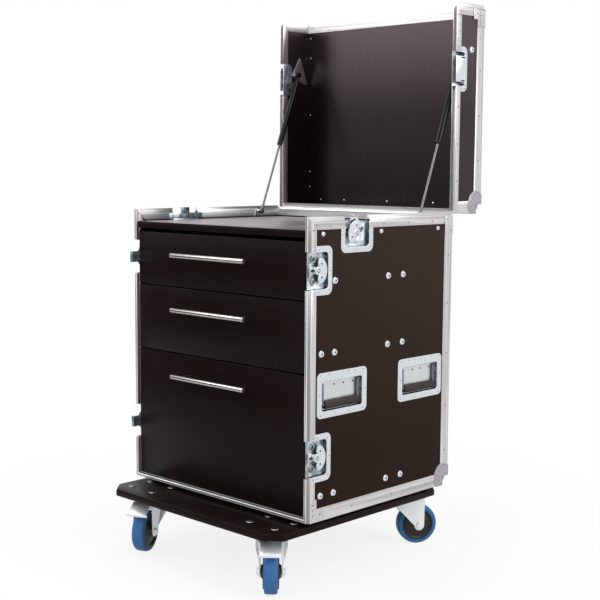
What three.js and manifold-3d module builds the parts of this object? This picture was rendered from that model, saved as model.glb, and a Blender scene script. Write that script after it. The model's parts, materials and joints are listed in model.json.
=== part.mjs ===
// Road case with three drawers on a castor board, lid open on two gas struts.
// Case frame: x across, y from the front plane to the rear, z up from the case's bottom edge.
import * as THREE from 'three';
import { mergeVertices } from 'three/addons/utils/BufferGeometryUtils.js';
import Module from 'manifold-3d';

const wasm = await Module();
wasm.setup();

// Overall case
const caseWidth = 600;
const caseDepth = 500;
const caseHeight = 668;
const lidHeight = 112;
const lidSeam = 1;
const plyThickness = 9;
const profileWall = 1.5;

// General clearances and one overrun for every cut
const seatGap = 0.3;
const runningGap = 0.4;
const overrun = 5;

// Tongue and groove profiles and corner angles
const frontFlange = 17;
const rimFlange = 20;
const lidFlange = 18.5;
const lidFrontFlange = 20.5;
const frontInnerFlange = 12;
const rimInnerFlange = 18;
const tongueHeight = 9;
const rearTongueHeight = 4.5;
const tongueTaper = 0.6;
const tongueBevel = 1;
const grooveClear = 0.5;
const angleFlange = 30;
const ballInset = 22;
const ballProud = 2.5;
const ballLobeRadius = 34;
const ballLobeThickness = 1.5;
const cornerPlateThickness = 1.2;
const cornerPlateHeight = 46;
const cornerPlateReach = 30;
const cornerPlateArm = 27;

// Top board and drawers
const topBoardDrop = 21;
const topBoardThickness = 16;
const topBoardSideGap = 0.4;
const drawerFrontProud = 3;
const drawerFrontThickness = 16;
const drawerFrontSideGap = 1.1;
const drawerGap = 3;
const drawerTopGap = 9;
const drawerBottomGap = 1.5;
const topFrontHeight = 128;
const middleFrontHeight = 158;
const drawerRearClear = 26.5;
const drawerWall = 12;
const drawerBottomThickness = 6;
const drawerBoxRise = 14;
const drawerBoxDrop = 24;
const runnerSpace = 12.7;
const runnerHeight = 42;
const runnerAboveFront = 42;
const runnerWall = 2;
const runnerBarThickness = 6;
const runnerStart = 20;
const pullLength = 252;
const pullPostSpacing = 192;
const pullRadius = 6;
const pullPostRadius = 4;
const pullReach = 32;
const pullBelowTop = 50;

// Butterfly latches
const dishSheet = 1.2;
const dishIntrusion = 2.7;
const latchLength = 108;
const latchReach = 68;
const latchCornerRadius = 15;
const latchPocketLength = 81;
const latchPocketReach = 55;
const latchPocketRadius = 9;
const latchHubOffset = 25.5;
const latchHubRadius = 9;
const latchPinRadius = 4;
const latchKeyRadius = 28.5;
const latchKeyInnerRadius = 12;
const latchKeyThickness = 1.6;
const latchKeyHoleRadius = 2.6;
const latchKeyHoleOffset = 19;
const latchKeySpread = 150;
const hookWidth = 27;
const hookThickness = 2.5;
const hookLength = 50;
const hookLip = 5;
const hookStroke = 24;
const frontLatchLow = 144;
const highLatchFromTop = 109;
const topLatchFromFront = 150;
const topLatchDrop = 6;
const receptorReach = 44;
const receptorPocketReach = 33;
const receptorPlateLength = 62;

// Recessed spring handles
const handleLength = 166;
const handleHeight = 102;
const handleCornerRadius = 12;
const handlePocketLength = 134;
const handlePocketHeight = 66.5;
const handlePocketRadius = 5;
const handleTopMargin = 20;
const handleCentreZ = 282;
const handleFrontClear = 5;
const handleRearClear = 3;
const bailRadius = 3;
const bailPivotDrop = 8;
const bailLength = 46;
const gripLength = 108;
const gripHeight = 19;
const gripDepth = 9.5;

// Rear hinge
const hingeLeafWidth = 22;
const hingeLeafThickness = 1.2;
const hingeKnuckleRadius = 2.7;
const hingePinRadius = 1.2;
const hingePinGap = 0.25;
const hingeKnuckleCount = 9;

// Gas struts
const strutSideInset = 28.5;
const strutFootFromRear = 94;
const strutFootAboveBoard = 17;
const strutHeadFromFront = 137.2;
const strutHeadClear = 1.6;
const strutRodRadius = 3;
const strutRodLength = 240;
const strutTubeRadius = 7.5;
const strutTubeLength = 186;
const strutNeckLength = 20;
const strutNeckRadius = 4;
const strutEyeRadius = 7;
const strutEyeThickness = 9;
const strutStudRadius = 4;
const footPlateLength = 26;
const footPlateThickness = 2.5;
const footBoardClear = 3;
const headPlateThickness = 2.5;
const headPlateForward = 41;
const headPlateLift = 20;
const headPlateAside = 17;
const headPlateRoof = 7.7;

// Castor board and castors
const boardFrontReach = 104;
const boardRearInset = 6;
const boardSideInset = 7;
const boardThickness = 18;
const boardChamfer = 38;
const boardEdgeRound = 4;
const footHeight = 8;
const footRadius = 20;
const footInset = 38;
const footRearInset = 84;
const castorAboveWheel = 31;
const castorSideInset = 88;
const castorFrontY = -29;
const castorRearInset = 72;
const castorPlateLength = 105;
const castorPlateWidth = 85;
const castorPlateThickness = 3;
const castorHeadRadius = 29;
const castorHeadHeight = 7;
const castorCupRadius = 33;
const castorCupHeight = 6;
const castorTrail = 40;
const wheelDiameter = 100;
const wheelWidth = 36;
const treadWidth = 30;
const treadCrown = 22;
const treadShoulder = 4;
const hubWidth = 46;
const hubRadius = 14;
const wheelBoreRadius = 6.3;
const rimRadius = 33;
const rimDish = 5;
const treadStep = 1.5;
const axleRadius = 6;
const axleHeadRadius = 9;
const axleHeadHeight = 5;
const forkLegThickness = 3;
const forkLegGap = 1;
const forkFlare = 9.5;
const forkFootRadius = 13;
const forkCrownLength = 66;
const forkNose = 54;
const pedalPivotRadius = 4;
const pedalPivotInset = 6;
const pedalPivotDrop = 10.6;
const pedalThickness = 3;
const pedalKnee = 8;
const pedalRise = 10;
const pedalReach = 42;
const pedalDrop = 10;
const pedalLip = 3;
const pedalLipHalf = 26.5;

// Shares chosen by hand, and the facets of round shapes
const keyTopTurnShare = 2 / 3;
const flareLowShare = 0.15;
const flareWideShare = 0.6;
const wheelSides = 20;
const circleSides = 16;
const fineSides = 8;
const nutSides = 6;
const cornerSteps = 3;
const ballSides = 12;
const ballRings = 8;
const keyArcSteps = 5;

// Planes that several pieces share
const sideX = caseWidth / 2;
const panelOuterX = sideX - profileWall;
const panelInnerX = panelOuterX - plyThickness;
const innerFlangeX = panelInnerX - profileWall;
const dishFloorX = panelInnerX - dishIntrusion + dishSheet;
const dishBackX = panelInnerX - dishIntrusion;
const profileWidth = plyThickness + profileWall * 2;
const lidBottomZ = caseHeight + lidSeam;
const lidTopZ = lidBottomZ + lidHeight;
const hingeY = caseDepth + hingeKnuckleRadius;
const hingeZ = caseHeight + lidSeam / 2;
const topBoardTopZ = caseHeight - topBoardDrop;
const topBoardBottomZ = topBoardTopZ - topBoardThickness;
const rearInnerY = caseDepth - profileWall - plyThickness;
const drawerBackY = drawerFrontThickness - drawerFrontProud;
const drawerBoxDepth = rearInnerY - drawerBackY - drawerRearClear;
const frontLatchHigh = caseHeight - highLatchFromTop;
const handleFrontY = frontFlange + handleFrontClear + handleLength / 2;
const handleRearY = caseDepth - angleFlange - handleRearClear - handleLength / 2;
const hingeLength = (sideX - cornerPlateReach) * 2;
const strutX = sideX - strutSideInset;
const castorX = sideX - castorSideInset;
const castorRearY = caseDepth - castorRearInset;
const grooveDepth = tongueHeight + grooveClear;
const throughTongue = tongueHeight + topLatchDrop + overrun;
const castorHeight = wheelDiameter + castorAboveWheel;
const boardTopZ = -footHeight - seatGap;
const boardBottomZ = boardTopZ - boardThickness;
const floorZ = boardBottomZ - castorHeight;

// Materials
const material = (color, roughness, metalness) => new THREE.MeshStandardMaterial({
  color, roughness, metalness, flatShading: true,
});
const phenolicPly = material(0x352b2a, 0.62, 0);
const blackBoard = material(0x2a2423, 0.5, 0);
const drawerFilm = material(0x241f1f, 0.45, 0);
const aluminium = material(0xc9cacb, 0.38, 0.9);
const zincPlate = material(0xb9c2c8, 0.3, 0.95);
const stainless = material(0xd2cfcb, 0.25, 1);
const blackPaint = material(0x171717, 0.35, 0.2);
const gripRubber = material(0x2b2524, 0.8, 0);
const wheelBlue = material(0x2a72b5, 0.55, 0);

// Solids
const flip = (geometry) => {
  const index = geometry.index.array;
  for (let i = 0; i < index.length; i += 3) {
    [index[i], index[i + 1]] = [index[i + 1], index[i]];
  }
  return geometry;
};

const welded = (geometry) => {
  const bare = geometry.clone();
  bare.deleteAttribute('normal');
  bare.deleteAttribute('uv');
  return mergeVertices(bare);
};

const solid = (geometry) => {
  const shape = welded(geometry);
  return new wasm.Manifold(new wasm.Mesh({
    numProp: 3,
    vertProperties: new Float32Array(shape.attributes.position.array),
    triVerts: new Uint32Array(shape.index.array),
  }));
};

const surface = (body) => {
  const data = body.getMesh();
  const geometry = new THREE.BufferGeometry();
  geometry.setAttribute('position', new THREE.BufferAttribute(new Float32Array(data.vertProperties), 3));
  geometry.setIndex(new THREE.BufferAttribute(new Uint32Array(data.triVerts), 1));
  return geometry;
};

const moved = (body, matrix) => {
  const geometry = surface(body).applyMatrix4(matrix);
  return solid(matrix.determinant() < 0 ? flip(geometry) : geometry);
};

const join = (...bodies) => bodies.reduce((all, body) => all.add(body));
const cut = (body, ...cutters) => cutters.reduce((rest, cutter) => rest.subtract(cutter), body);

const block = (xa, xb, ya, yb, za, zb) => solid(
  new THREE.BoxGeometry(Math.abs(xb - xa), Math.abs(yb - ya), Math.abs(zb - za))
    .translate((xa + xb) / 2, (ya + yb) / 2, (za + zb) / 2),
);

const rod = (radius, from, to, sides = fineSides) => {
  const axis = new THREE.Vector3().subVectors(to, from);
  const turn = new THREE.Quaternion().setFromUnitVectors(
    new THREE.Vector3(0, 1, 0), axis.clone().normalize(),
  );
  const middle = new THREE.Vector3().addVectors(from, to).multiplyScalar(1 / 2);
  return solid(new THREE.CylinderGeometry(radius, radius, axis.length(), sides)
    .applyQuaternion(turn).translate(middle.x, middle.y, middle.z));
};

const vec = (x, y, z) => new THREE.Vector3(x, y, z);

// A flat outline in a plane, given thickness along the plane's normal
const plate = (shape, near, far, matrix = new THREE.Matrix4(), curveSegments = cornerSteps) => {
  const geometry = new THREE.ExtrudeGeometry(shape, {
    depth: far - near, bevelEnabled: false, curveSegments,
  }).translate(0, 0, near).applyMatrix4(matrix);
  return solid(matrix.determinant() < 0 ? flip(welded(geometry)) : geometry);
};

// A rectangle with its own radius at each corner, from (x0, y0) anticlockwise
const roundedRectangle = (x0, x1, y0, y1, radii) => {
  const [a, b, c, d] = radii;
  const shape = new THREE.Shape();
  shape.moveTo(x0 + a, y0);
  shape.lineTo(x1 - b, y0);
  if (b > 0) shape.absarc(x1 - b, y0 + b, b, -Math.PI / 2, 0);
  shape.lineTo(x1, y1 - c);
  if (c > 0) shape.absarc(x1 - c, y1 - c, c, 0, Math.PI / 2);
  shape.lineTo(x0 + d, y1);
  if (d > 0) shape.absarc(x0 + d, y1 - d, d, Math.PI / 2, Math.PI);
  shape.lineTo(x0, y0 + a);
  if (a > 0) shape.absarc(x0 + a, y0 + a, a, Math.PI, Math.PI * 3 / 2);
  return shape;
};

const polygon = (points) => new THREE.Shape(points.map(([x, y]) => new THREE.Vector2(x, y)));

// A profile section run along a path of straight edges with mitred corners.
// Section points are (u, v): u inwards from the outer face, v outwards along the plane's normal.
const run = (section, corners, inward, normal, shears = [0, 0]) => {
  const last = corners.length - 1;
  const along = corners.slice(1).map((corner, i) => corner.clone().sub(corners[i]).normalize());
  const rings = corners.map((corner, k) => {
    const before = inward[Math.max(k - 1, 0)];
    const after = inward[Math.min(k, last - 1)];
    const mitre = before.clone().add(after).divideScalar(1 + before.dot(after));
    const end = k === 0 ? along[0].clone().multiplyScalar(-shears[0])
      : k === last ? along[last - 1].clone().multiplyScalar(shears[1]) : vec(0, 0, 0);
    return section.map(([u, v]) => corner.clone().addScaledVector(mitre, u)
      .addScaledVector(normal, v).addScaledVector(end, v));
  });
  const size = section.length;
  const positions = rings.flat().flatMap((point) => [point.x, point.y, point.z]);
  const index = [];
  for (let k = 0; k < last; k += 1) {
    for (let i = 0; i < size; i += 1) {
      const j = (i + 1) % size;
      const [a, b, c, d] = [k * size + i, k * size + j, (k + 1) * size + j, (k + 1) * size + i];
      index.push(a, b, c, a, c, d);
    }
  }
  const flat = section.map(([u, v]) => new THREE.Vector2(u, v));
  const turned = THREE.ShapeUtils.isClockWise(flat);
  for (const [a, b, c] of THREE.ShapeUtils.triangulateShape(flat, [])) {
    index.push(...(turned ? [a, b, c] : [a, c, b]));
    index.push(...(turned ? [a, c, b] : [a, b, c]).map((i) => i + last * size));
  }
  const geometry = new THREE.BufferGeometry();
  geometry.setAttribute('position', new THREE.Float32BufferAttribute(positions, 3));
  geometry.setIndex(index);
  const volume = signedVolume(geometry);
  return solid(volume < 0 ? flip(geometry) : geometry);
};

const signedVolume = (geometry) => {
  const point = (i) => new THREE.Vector3().fromBufferAttribute(geometry.attributes.position, i);
  let total = 0;
  for (let i = 0; i < geometry.index.count; i += 3) {
    const [a, b, c] = [0, 1, 2].map((k) => point(geometry.index.getX(i + k)));
    total += a.dot(b.cross(c)) / 6;
  }
  return total;
};

const group = new THREE.Group();

const add = (name, body, finish, parent = group) => {
  const geometry = surface(body);
  geometry.computeVertexNormals();
  const mesh = new THREE.Mesh(geometry, finish);
  mesh.name = name;
  parent.add(mesh);
  return mesh;
};

// Sides: +1 is the right of the case as seen from its front, -1 the left
const sides = [['right', 1], ['left', -1]];

// Profile sections. The tongue and the groove hug the ply between two flanges.
const tongueSection = (outerFlange, innerFlange) => [
  [0, -outerFlange],
  [0, 0],
  [profileWall, 0],
  [profileWall + tongueTaper, tongueHeight - tongueBevel],
  [profileWall + tongueTaper + tongueBevel, tongueHeight],
  [profileWidth - profileWall - tongueTaper - tongueBevel, tongueHeight],
  [profileWidth - profileWall - tongueTaper, tongueHeight - tongueBevel],
  [profileWidth - profileWall, 0],
  [profileWidth, 0],
  [profileWidth, -innerFlange],
  [profileWidth - profileWall, -innerFlange],
  [profileWidth - profileWall, -profileWall],
  [profileWall, -profileWall],
  [profileWall, -outerFlange],
];

const grooveWall = profileWall - seatGap;
const grooveSection = (outerFlange, innerFlange) => [
  [0, -outerFlange],
  [0, 0],
  [grooveWall, 0],
  [grooveWall, -grooveDepth],
  [profileWidth - grooveWall, -grooveDepth],
  [profileWidth - grooveWall, 0],
  [profileWidth, 0],
  [profileWidth, -innerFlange],
  [profileWidth - profileWall, -innerFlange],
  [profileWidth - profileWall, -grooveDepth - profileWall],
  [profileWall, -grooveDepth - profileWall],
  [profileWall, -outerFlange],
];

const angleSection = [
  [0, 0], [angleFlange, 0], [angleFlange, profileWall],
  [profileWall, profileWall], [profileWall, angleFlange], [0, angleFlange],
];

const right = vec(1, 0, 0);
const left = vec(-1, 0, 0);
const up = vec(0, 0, 1);
const down = vec(0, 0, -1);
const front = vec(0, -1, 0);
const rear = vec(0, 1, 0);

// Recessed sheet-metal dishes, drawn in their own frame: a along the edge, b inwards from the
// edge, c outwards from the panel. The frame's matrix puts them on the panel.
const dishFrame = (a, b, c, origin) => new THREE.Matrix4().makeBasis(a, b, c).setPosition(origin);

const dishDepth = panelOuterX - dishBackX;
const floorDepth = panelOuterX - dishFloorX;

const openDish = (length, reach, pocketLength, pocketReach) => {
  const [half, pocketHalf] = [length / 2, pocketLength / 2];
  const rim = plate(roundedRectangle(-half, half, 0, reach, [0, 0, latchCornerRadius, latchCornerRadius]),
    0, dishSheet);
  const outerRadius = latchPocketRadius + dishSheet;
  const tub = plate(roundedRectangle(-pocketHalf - dishSheet, pocketHalf + dishSheet, 0,
    pocketReach + dishSheet, [0, 0, outerRadius, outerRadius]), -dishDepth, dishSheet);
  const hollow = plate(roundedRectangle(-pocketHalf, pocketHalf, -overrun, pocketReach,
    [0, 0, latchPocketRadius, latchPocketRadius]), -floorDepth, overrun);
  return cut(join(rim, tub), hollow);
};

// The hole that an open dish needs in the panel and the profiles, mouth included
const openDishHole = (pocketLength, pocketReach) => {
  const half = pocketLength / 2 + dishSheet;
  const radius = latchPocketRadius + dishSheet;
  return plate(roundedRectangle(-half - seatGap, half + seatGap, -throughTongue,
    pocketReach + dishSheet + seatGap, [0, 0, radius, radius]), -dishDepth - seatGap, profileWall + overrun);
};

// Latch places: two on the front edge and one on the top rim of each side. The turn share is
// how far the key is turned and the hook run out as the case stands.
const latchPlaces = sides.flatMap(([sideName, side]) => [
  { name: `front_low_${sideName}`, side, top: false, at: frontLatchLow, turnShare: side > 0 ? 0 : 1 },
  { name: `front_high_${sideName}`, side, top: false, at: frontLatchHigh, turnShare: side > 0 ? 0 : 1 },
  { name: `top_${sideName}`, side, top: true, at: topLatchFromFront, turnShare: keyTopTurnShare },
]);
const latchFrame = ({ side, top, at }) => (top
  ? dishFrame(rear, down, right.clone().multiplyScalar(side),
    vec(side * panelOuterX, at, caseHeight - topLatchDrop))
  : dishFrame(up, rear, right.clone().multiplyScalar(side), vec(side * panelOuterX, 0, at)));
const latchHole = openDishHole(latchPocketLength, latchPocketReach);
const latchRoom = (() => {
  const half = latchPocketLength / 2 + dishSheet + seatGap;
  const reach = latchPocketReach + dishSheet + seatGap;
  return block(-half, half, -overrun, reach, -dishDepth - seatGap, -plyThickness);
})();
const latchRooms = (wanted) => latchPlaces.filter(wanted).map((place) => moved(latchRoom, latchFrame(place)));
const latchHoles = (wanted) => latchPlaces.filter(wanted).map((place) => moved(latchHole, latchFrame(place)));

// Recessed handles
const handlePlaces = sides.flatMap(([sideName, side]) => [
  { name: `front_${sideName}`, side, at: handleFrontY },
  { name: `rear_${sideName}`, side, at: handleRearY },
]);
const handlePocketTop = handleHeight / 2 - handleTopMargin;
const handlePocketBottom = handlePocketTop - handlePocketHeight;
const handleFrame = ({ side, at }) => dishFrame(rear, up, right.clone().multiplyScalar(side),
  vec(side * panelOuterX, at, handleCentreZ));
const handlePocket = (grow, near, far) => {
  const half = handlePocketLength / 2 + grow;
  return plate(roundedRectangle(-half, half, handlePocketBottom - grow, handlePocketTop + grow,
    Array(4).fill(handlePocketRadius + grow)), near, far);
};
const handleDish = cut(
  join(
    plate(roundedRectangle(-handleLength / 2, handleLength / 2, -handleHeight / 2, handleHeight / 2,
      Array(4).fill(handleCornerRadius)), 0, dishSheet),
    handlePocket(dishSheet, -dishDepth, dishSheet),
  ),
  handlePocket(0, -floorDepth, overrun),
);
const handleHole = handlePocket(dishSheet + seatGap, -dishDepth - seatGap, overrun);
const handleHoles = (side) => handlePlaces.filter((place) => place.side === side)
  .map((place) => moved(handleHole, handleFrame(place)));

// The rounding of the ply at a corner that carries a ball corner
const cornerBlock = ([x, y, z, w], inset, reach) => {
  const s = Math.sign(x);
  return block(x - s * inset, x + s * reach, y - inset, y + reach, z - w * inset, z + w * reach);
};
const ball = (corner, radius) => solid(new THREE.SphereGeometry(radius, ballSides, ballRings).translate(
  corner[0] - Math.sign(corner[0]) * ballInset,
  corner[1] - Math.sign(corner[1]) * ballInset,
  corner[2] - corner[3] * ballInset,
));
// Corners are [x, y, z, outward z direction]
const bodyBalls = sides.map(([, side]) => [side * sideX, caseDepth, 0, -1]);
const lidBalls = sides.map(([, side]) => [side * sideX, caseDepth, lidTopZ, 1]);
const roundedOff = (corner) => cut(cornerBlock(corner, ballInset, overrun),
  ball(corner, ballInset - profileWall));

const ballCorner = (corner) => {
  const [x, y, z, w] = corner;
  const s = Math.sign(x);
  const bulge = ball(corner, ballInset + ballProud).intersect(cornerBlock(corner, ballInset, ballProud * 2));
  const shell = cut(bulge, ball(corner, ballInset - profileWall + seatGap));
  const centre = vec(x - s * ballInset, y - ballInset, z - w * ballInset);
  const lap = profileWall / 2;
  const lobes = [
    [vec(x - s * lap, centre.y, centre.z), vec(x + s * ballLobeThickness, centre.y, centre.z)],
    [vec(centre.x, y - lap, centre.z), vec(centre.x, y + ballLobeThickness, centre.z)],
    [vec(centre.x, centre.y, z - w * lap), vec(centre.x, centre.y, z + w * ballLobeThickness)],
  ].map(([from, to]) => rod(ballLobeRadius, from, to, circleSides));
  const within = block(x - s * (ballInset + ballLobeRadius), x + s * ballLobeThickness,
    y - ballInset - ballLobeRadius, y + ballLobeThickness,
    z - w * (ballInset + ballLobeRadius), z + w * ballLobeThickness);
  const flat = cut(join(...lobes).intersect(within), cornerBlock(corner, ballInset - lap, overrun));
  return join(flat, shell);
};

// Case panels
const bodyRoundings = bodyBalls.map(roundedOff);
for (const [sideName, side] of sides) {
  const holes = [...latchHoles((place) => place.side === side), ...handleHoles(side)];
  const panel = block(side * panelInnerX, side * panelOuterX, profileWall, caseDepth - profileWall,
    profileWall, caseHeight - profileWall);
  const boardBack = side * (panelInnerX - runnerWall);
  const rails = drawerPlaces().map(({ railZ }) => {
    const half = runnerHeight / 2;
    const outer = block(side * panelInnerX, side * (panelInnerX - runnerSpace + seatGap * 2),
      runnerStart, runnerStart + drawerBoxDepth, railZ - half, railZ + half);
    const inner = block(boardBack, side * (panelInnerX - runnerSpace - overrun),
      runnerStart - overrun, runnerStart + drawerBoxDepth + overrun,
      railZ - half + runnerWall, railZ + half - runnerWall);
    return cut(outer, inner, ...latchRooms((place) => place.side === side && !place.top));
  });
  add(`${sideName}_side_panel`, cut(join(panel, ...rails), ...holes, ...bodyRoundings), phenolicPly);
}

function drawerPlaces() {
  const floorTop = profileWall * 2 + plyThickness;
  const lowest = floorTop + drawerBottomGap;
  const highest = topBoardBottomZ - drawerTopGap;
  const topBottom = highest - topFrontHeight;
  const middleTop = topBottom - drawerGap;
  const middleBottom = middleTop - middleFrontHeight;
  return [
    { name: 'top', low: topBottom, high: highest },
    { name: 'middle', low: middleBottom, high: middleTop },
    { name: 'bottom', low: lowest, high: middleBottom - drawerGap },
  ].map((place) => ({ ...place, railZ: place.low + runnerAboveFront }));
}

add('rear_panel', cut(block(-panelInnerX, panelInnerX, rearInnerY, caseDepth - profileWall,
  profileWall, caseHeight - profileWall), ...bodyRoundings), phenolicPly);
add('floor_panel', cut(block(-panelInnerX, panelInnerX, profileWall, rearInnerY,
  profileWall, profileWall + plyThickness), ...bodyRoundings), phenolicPly);
const topBoardHalf = innerFlangeX - topBoardSideGap;
add('top_board', cut(join(
  block(-topBoardHalf, topBoardHalf, -drawerFrontProud, rearInnerY - seatGap, topBoardBottomZ, topBoardTopZ),
  block(-panelInnerX + seatGap, panelInnerX - seatGap, frontInnerFlange + seatGap, rearInnerY - seatGap,
    topBoardBottomZ, topBoardTopZ),
), ...latchRooms(({ top }) => top)), blackBoard);

// Front tongue profile: up both sides and across the bottom, with the front latch dishes
const latchDish = openDish(latchLength, latchReach, latchPocketLength, latchPocketReach);
const frontFrame = run(tongueSection(frontFlange, frontInnerFlange),
  [vec(-sideX, 0, caseHeight), vec(-sideX, 0, 0), vec(sideX, 0, 0), vec(sideX, 0, caseHeight)],
  [right, up, left], front, [1, 1]);
const frontDishes = latchPlaces.filter(({ top }) => !top).map((place) => moved(latchDish, latchFrame(place)));
add('front_profile', join(cut(frontFrame, ...latchHoles(({ top }) => !top)), ...frontDishes), aluminium);

// Top rim: the tongue that the lid closes on, with the two top latch dishes. Its rear run is
// lower, so that the lid's groove clears it while the lid swings about the hinge.
const rimFrame = run(tongueSection(rimFlange, rimInnerFlange),
  [vec(-sideX, seatGap, caseHeight), vec(-sideX, caseDepth, caseHeight),
    vec(sideX, caseDepth, caseHeight), vec(sideX, seatGap, caseHeight)],
  [right, front, left], up, [1, 1]);
const topDishes = latchPlaces.filter(({ top }) => top).map((place) => moved(latchDish, latchFrame(place)));
const rearTongueRoom = block(-sideX - overrun, sideX + overrun, caseDepth - profileWidth, caseDepth + overrun,
  caseHeight + rearTongueHeight, caseHeight + throughTongue);
add('top_rim', join(cut(rimFrame, rearTongueRoom, ...latchHoles(({ top }) => top)), ...topDishes), aluminium);

// Edge angles along the bottom and up the rear corners, with ball corners and top corner plates
const bottomAngle = run(angleSection,
  [vec(-sideX, frontFlange + seatGap, 0), vec(-sideX, caseDepth, 0),
    vec(sideX, caseDepth, 0), vec(sideX, frontFlange + seatGap, 0)],
  [right, front, left], up);
const rearAngles = sides.map(([, side]) => {
  const inward = right.clone().multiplyScalar(-side);
  return run(angleSection, [vec(side * sideX, caseDepth, 0),
    vec(side * sideX, caseDepth, caseHeight - rimFlange - seatGap)], [inward], front);
});
const rearPlates = sides.map(([, side]) => {
  const low = caseHeight - cornerPlateHeight;
  const outerX = side * (sideX + cornerPlateThickness);
  const outerY = caseDepth + cornerPlateThickness;
  const innerX = side * (sideX - cornerPlateReach + seatGap);
  return cut(
    block(innerX, outerX, caseDepth - cornerPlateReach, outerY, low, caseHeight - seatGap),
    block(side * (sideX - cornerPlateReach - overrun), side * sideX,
      caseDepth - cornerPlateReach - overrun, caseDepth, low - overrun, caseHeight + overrun),
  );
});
const bodyOctants = bodyBalls.map((corner) => cornerBlock(corner, ballInset, overrun));
add('edge_angles', join(cut(join(bottomAngle, ...rearAngles), ...bodyOctants),
  ...rearPlates, ...bodyBalls.map(ballCorner)), aluminium);

// Handle dishes and their bails
for (const place of handlePlaces) {
  add(`handle_dish_${place.name}`, moved(handleDish, handleFrame(place)), zincPlate);
  const pivot = new THREE.Group();
  const pivotDepth = floorDepth - bailRadius - runningGap * 2;
  const armEnd = handlePocketLength / 2 - seatGap;
  const armX = handlePocketLength / 2 - bailRadius * 2;
  pivot.position.set(place.side * (panelOuterX - pivotDepth), place.at,
    handleCentreZ + handlePocketTop - bailPivotDrop);
  const arms = [1, -1].flatMap((end) => [
    rod(bailRadius, vec(0, end * armEnd, 0), vec(0, end * (armX - bailRadius), 0)),
    rod(bailRadius, vec(0, end * armX, 0), vec(0, end * armX, -bailLength)),
  ]);
  const gripCentre = place.side * (gripDepth / 2 - bailRadius);
  const grip = solid(new THREE.CylinderGeometry(1, 1, gripLength, circleSides)
    .scale(gripDepth / 2, 1, gripHeight / 2).translate(gripCentre, 0, -bailLength));
  const cross = rod(bailRadius, vec(0, -armX, -bailLength), vec(0, armX, -bailLength));
  add(`handle_bail_${place.name}`, join(...arms, cross, grip), gripRubber, pivot);
  group.add(pivot);
}

// Latch keys and hooks
const keyHub = rod(latchHubRadius, vec(0, 0, -floorDepth + hookThickness + seatGap * 2), vec(0, 0, 0));
const keyPin = rod(latchPinRadius, vec(0, 0, -floorDepth + seatGap), vec(0, 0, 0));
const spread = THREE.MathUtils.degToRad(latchKeySpread);
const wings = new THREE.Shape();
wings.absarc(0, 0, latchKeyRadius, Math.PI / 2 - spread / 2, Math.PI / 2 + spread / 2);
wings.absarc(0, 0, latchKeyInnerRadius - latchHubRadius / 2, Math.PI / 2 + spread / 2,
  Math.PI / 2 - spread / 2, true);
for (const end of [1, -1]) {
  wings.holes.push(new THREE.Path().absarc(end * latchKeyHoleOffset,
    (latchKeyRadius + latchKeyInnerRadius) / 2 - latchHubRadius, latchKeyHoleRadius, 0, Math.PI * 2, true));
}
const keyPlate = plate(wings, -latchKeyThickness, 0, new THREE.Matrix4(), keyArcSteps);
const latchKey = join(keyHub, keyPin, keyPlate);
const hookArm = latchPinRadius + runningGap;
const hookBody = (() => {
  const half = hookWidth / 2;
  const [near, far] = [-floorDepth + seatGap, -floorDepth + seatGap + hookThickness];
  const strap = block(-half, half, 0, hookLength, near, far);
  const lip = block(-half, half, 0, hookThickness, near, far + hookLip);
  const slot = block(-hookArm, hookArm, latchHubOffset - hookArm, hookLength + overrun,
    near - overrun, far + overrun);
  return cut(join(strap, lip), slot);
})();
for (const place of latchPlaces) {
  const frame = latchFrame(place);
  const hub = new THREE.Matrix4().makeTranslation(0, latchHubOffset, 0)
    .multiply(new THREE.Matrix4().makeRotationZ(Math.PI * place.turnShare));
  add(`latch_key_${place.name}`, moved(latchKey, frame.clone().multiply(hub)), zincPlate);
  const slid = new THREE.Matrix4().makeTranslation(0, -hookStroke * place.turnShare, 0);
  add(`latch_hook_${place.name}`, moved(hookBody, frame.clone().multiply(slid)), zincPlate);
}

// Piano hinge: alternate knuckles on the body leaf and the lid leaf
const knucklePitch = hingeLength / hingeKnuckleCount;
const knuckles = Array.from({ length: hingeKnuckleCount }, (_, i) => {
  const start = -hingeLength / 2 + i * knucklePitch;
  return { from: start + runningGap / 2, to: start + knucklePitch - runningGap / 2, onBody: i % 2 === 0 };
});
const knuckle = ({ from, to }) => rod(hingeKnuckleRadius, vec(from, hingeY, hingeZ), vec(to, hingeY, hingeZ));
const knuckleRoom = ({ from, to }) => block(from - runningGap, to + runningGap, caseDepth - overrun,
  hingeY + hingeKnuckleRadius + overrun, hingeZ - hingeKnuckleRadius - runningGap,
  hingeZ + hingeKnuckleRadius + runningGap);
const hingePin = rod(hingePinRadius, vec(-hingeLength / 2 + knucklePitch / 2, hingeY, hingeZ),
  vec(hingeLength / 2 - knucklePitch / 2, hingeY, hingeZ));
const leaf = (za, zb) => block(-hingeLength / 2, hingeLength / 2,
  caseDepth, caseDepth + hingeLeafThickness, za, zb);
const bodyKnuckles = knuckles.filter(({ onBody }) => onBody);
const lidKnuckles = knuckles.filter(({ onBody }) => !onBody);
add('hinge_body_leaf', join(
  cut(leaf(hingeZ - hingeLeafWidth, hingeZ), ...lidKnuckles.map(knuckleRoom)),
  ...bodyKnuckles.map(knuckle), hingePin,
), stainless);

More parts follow.
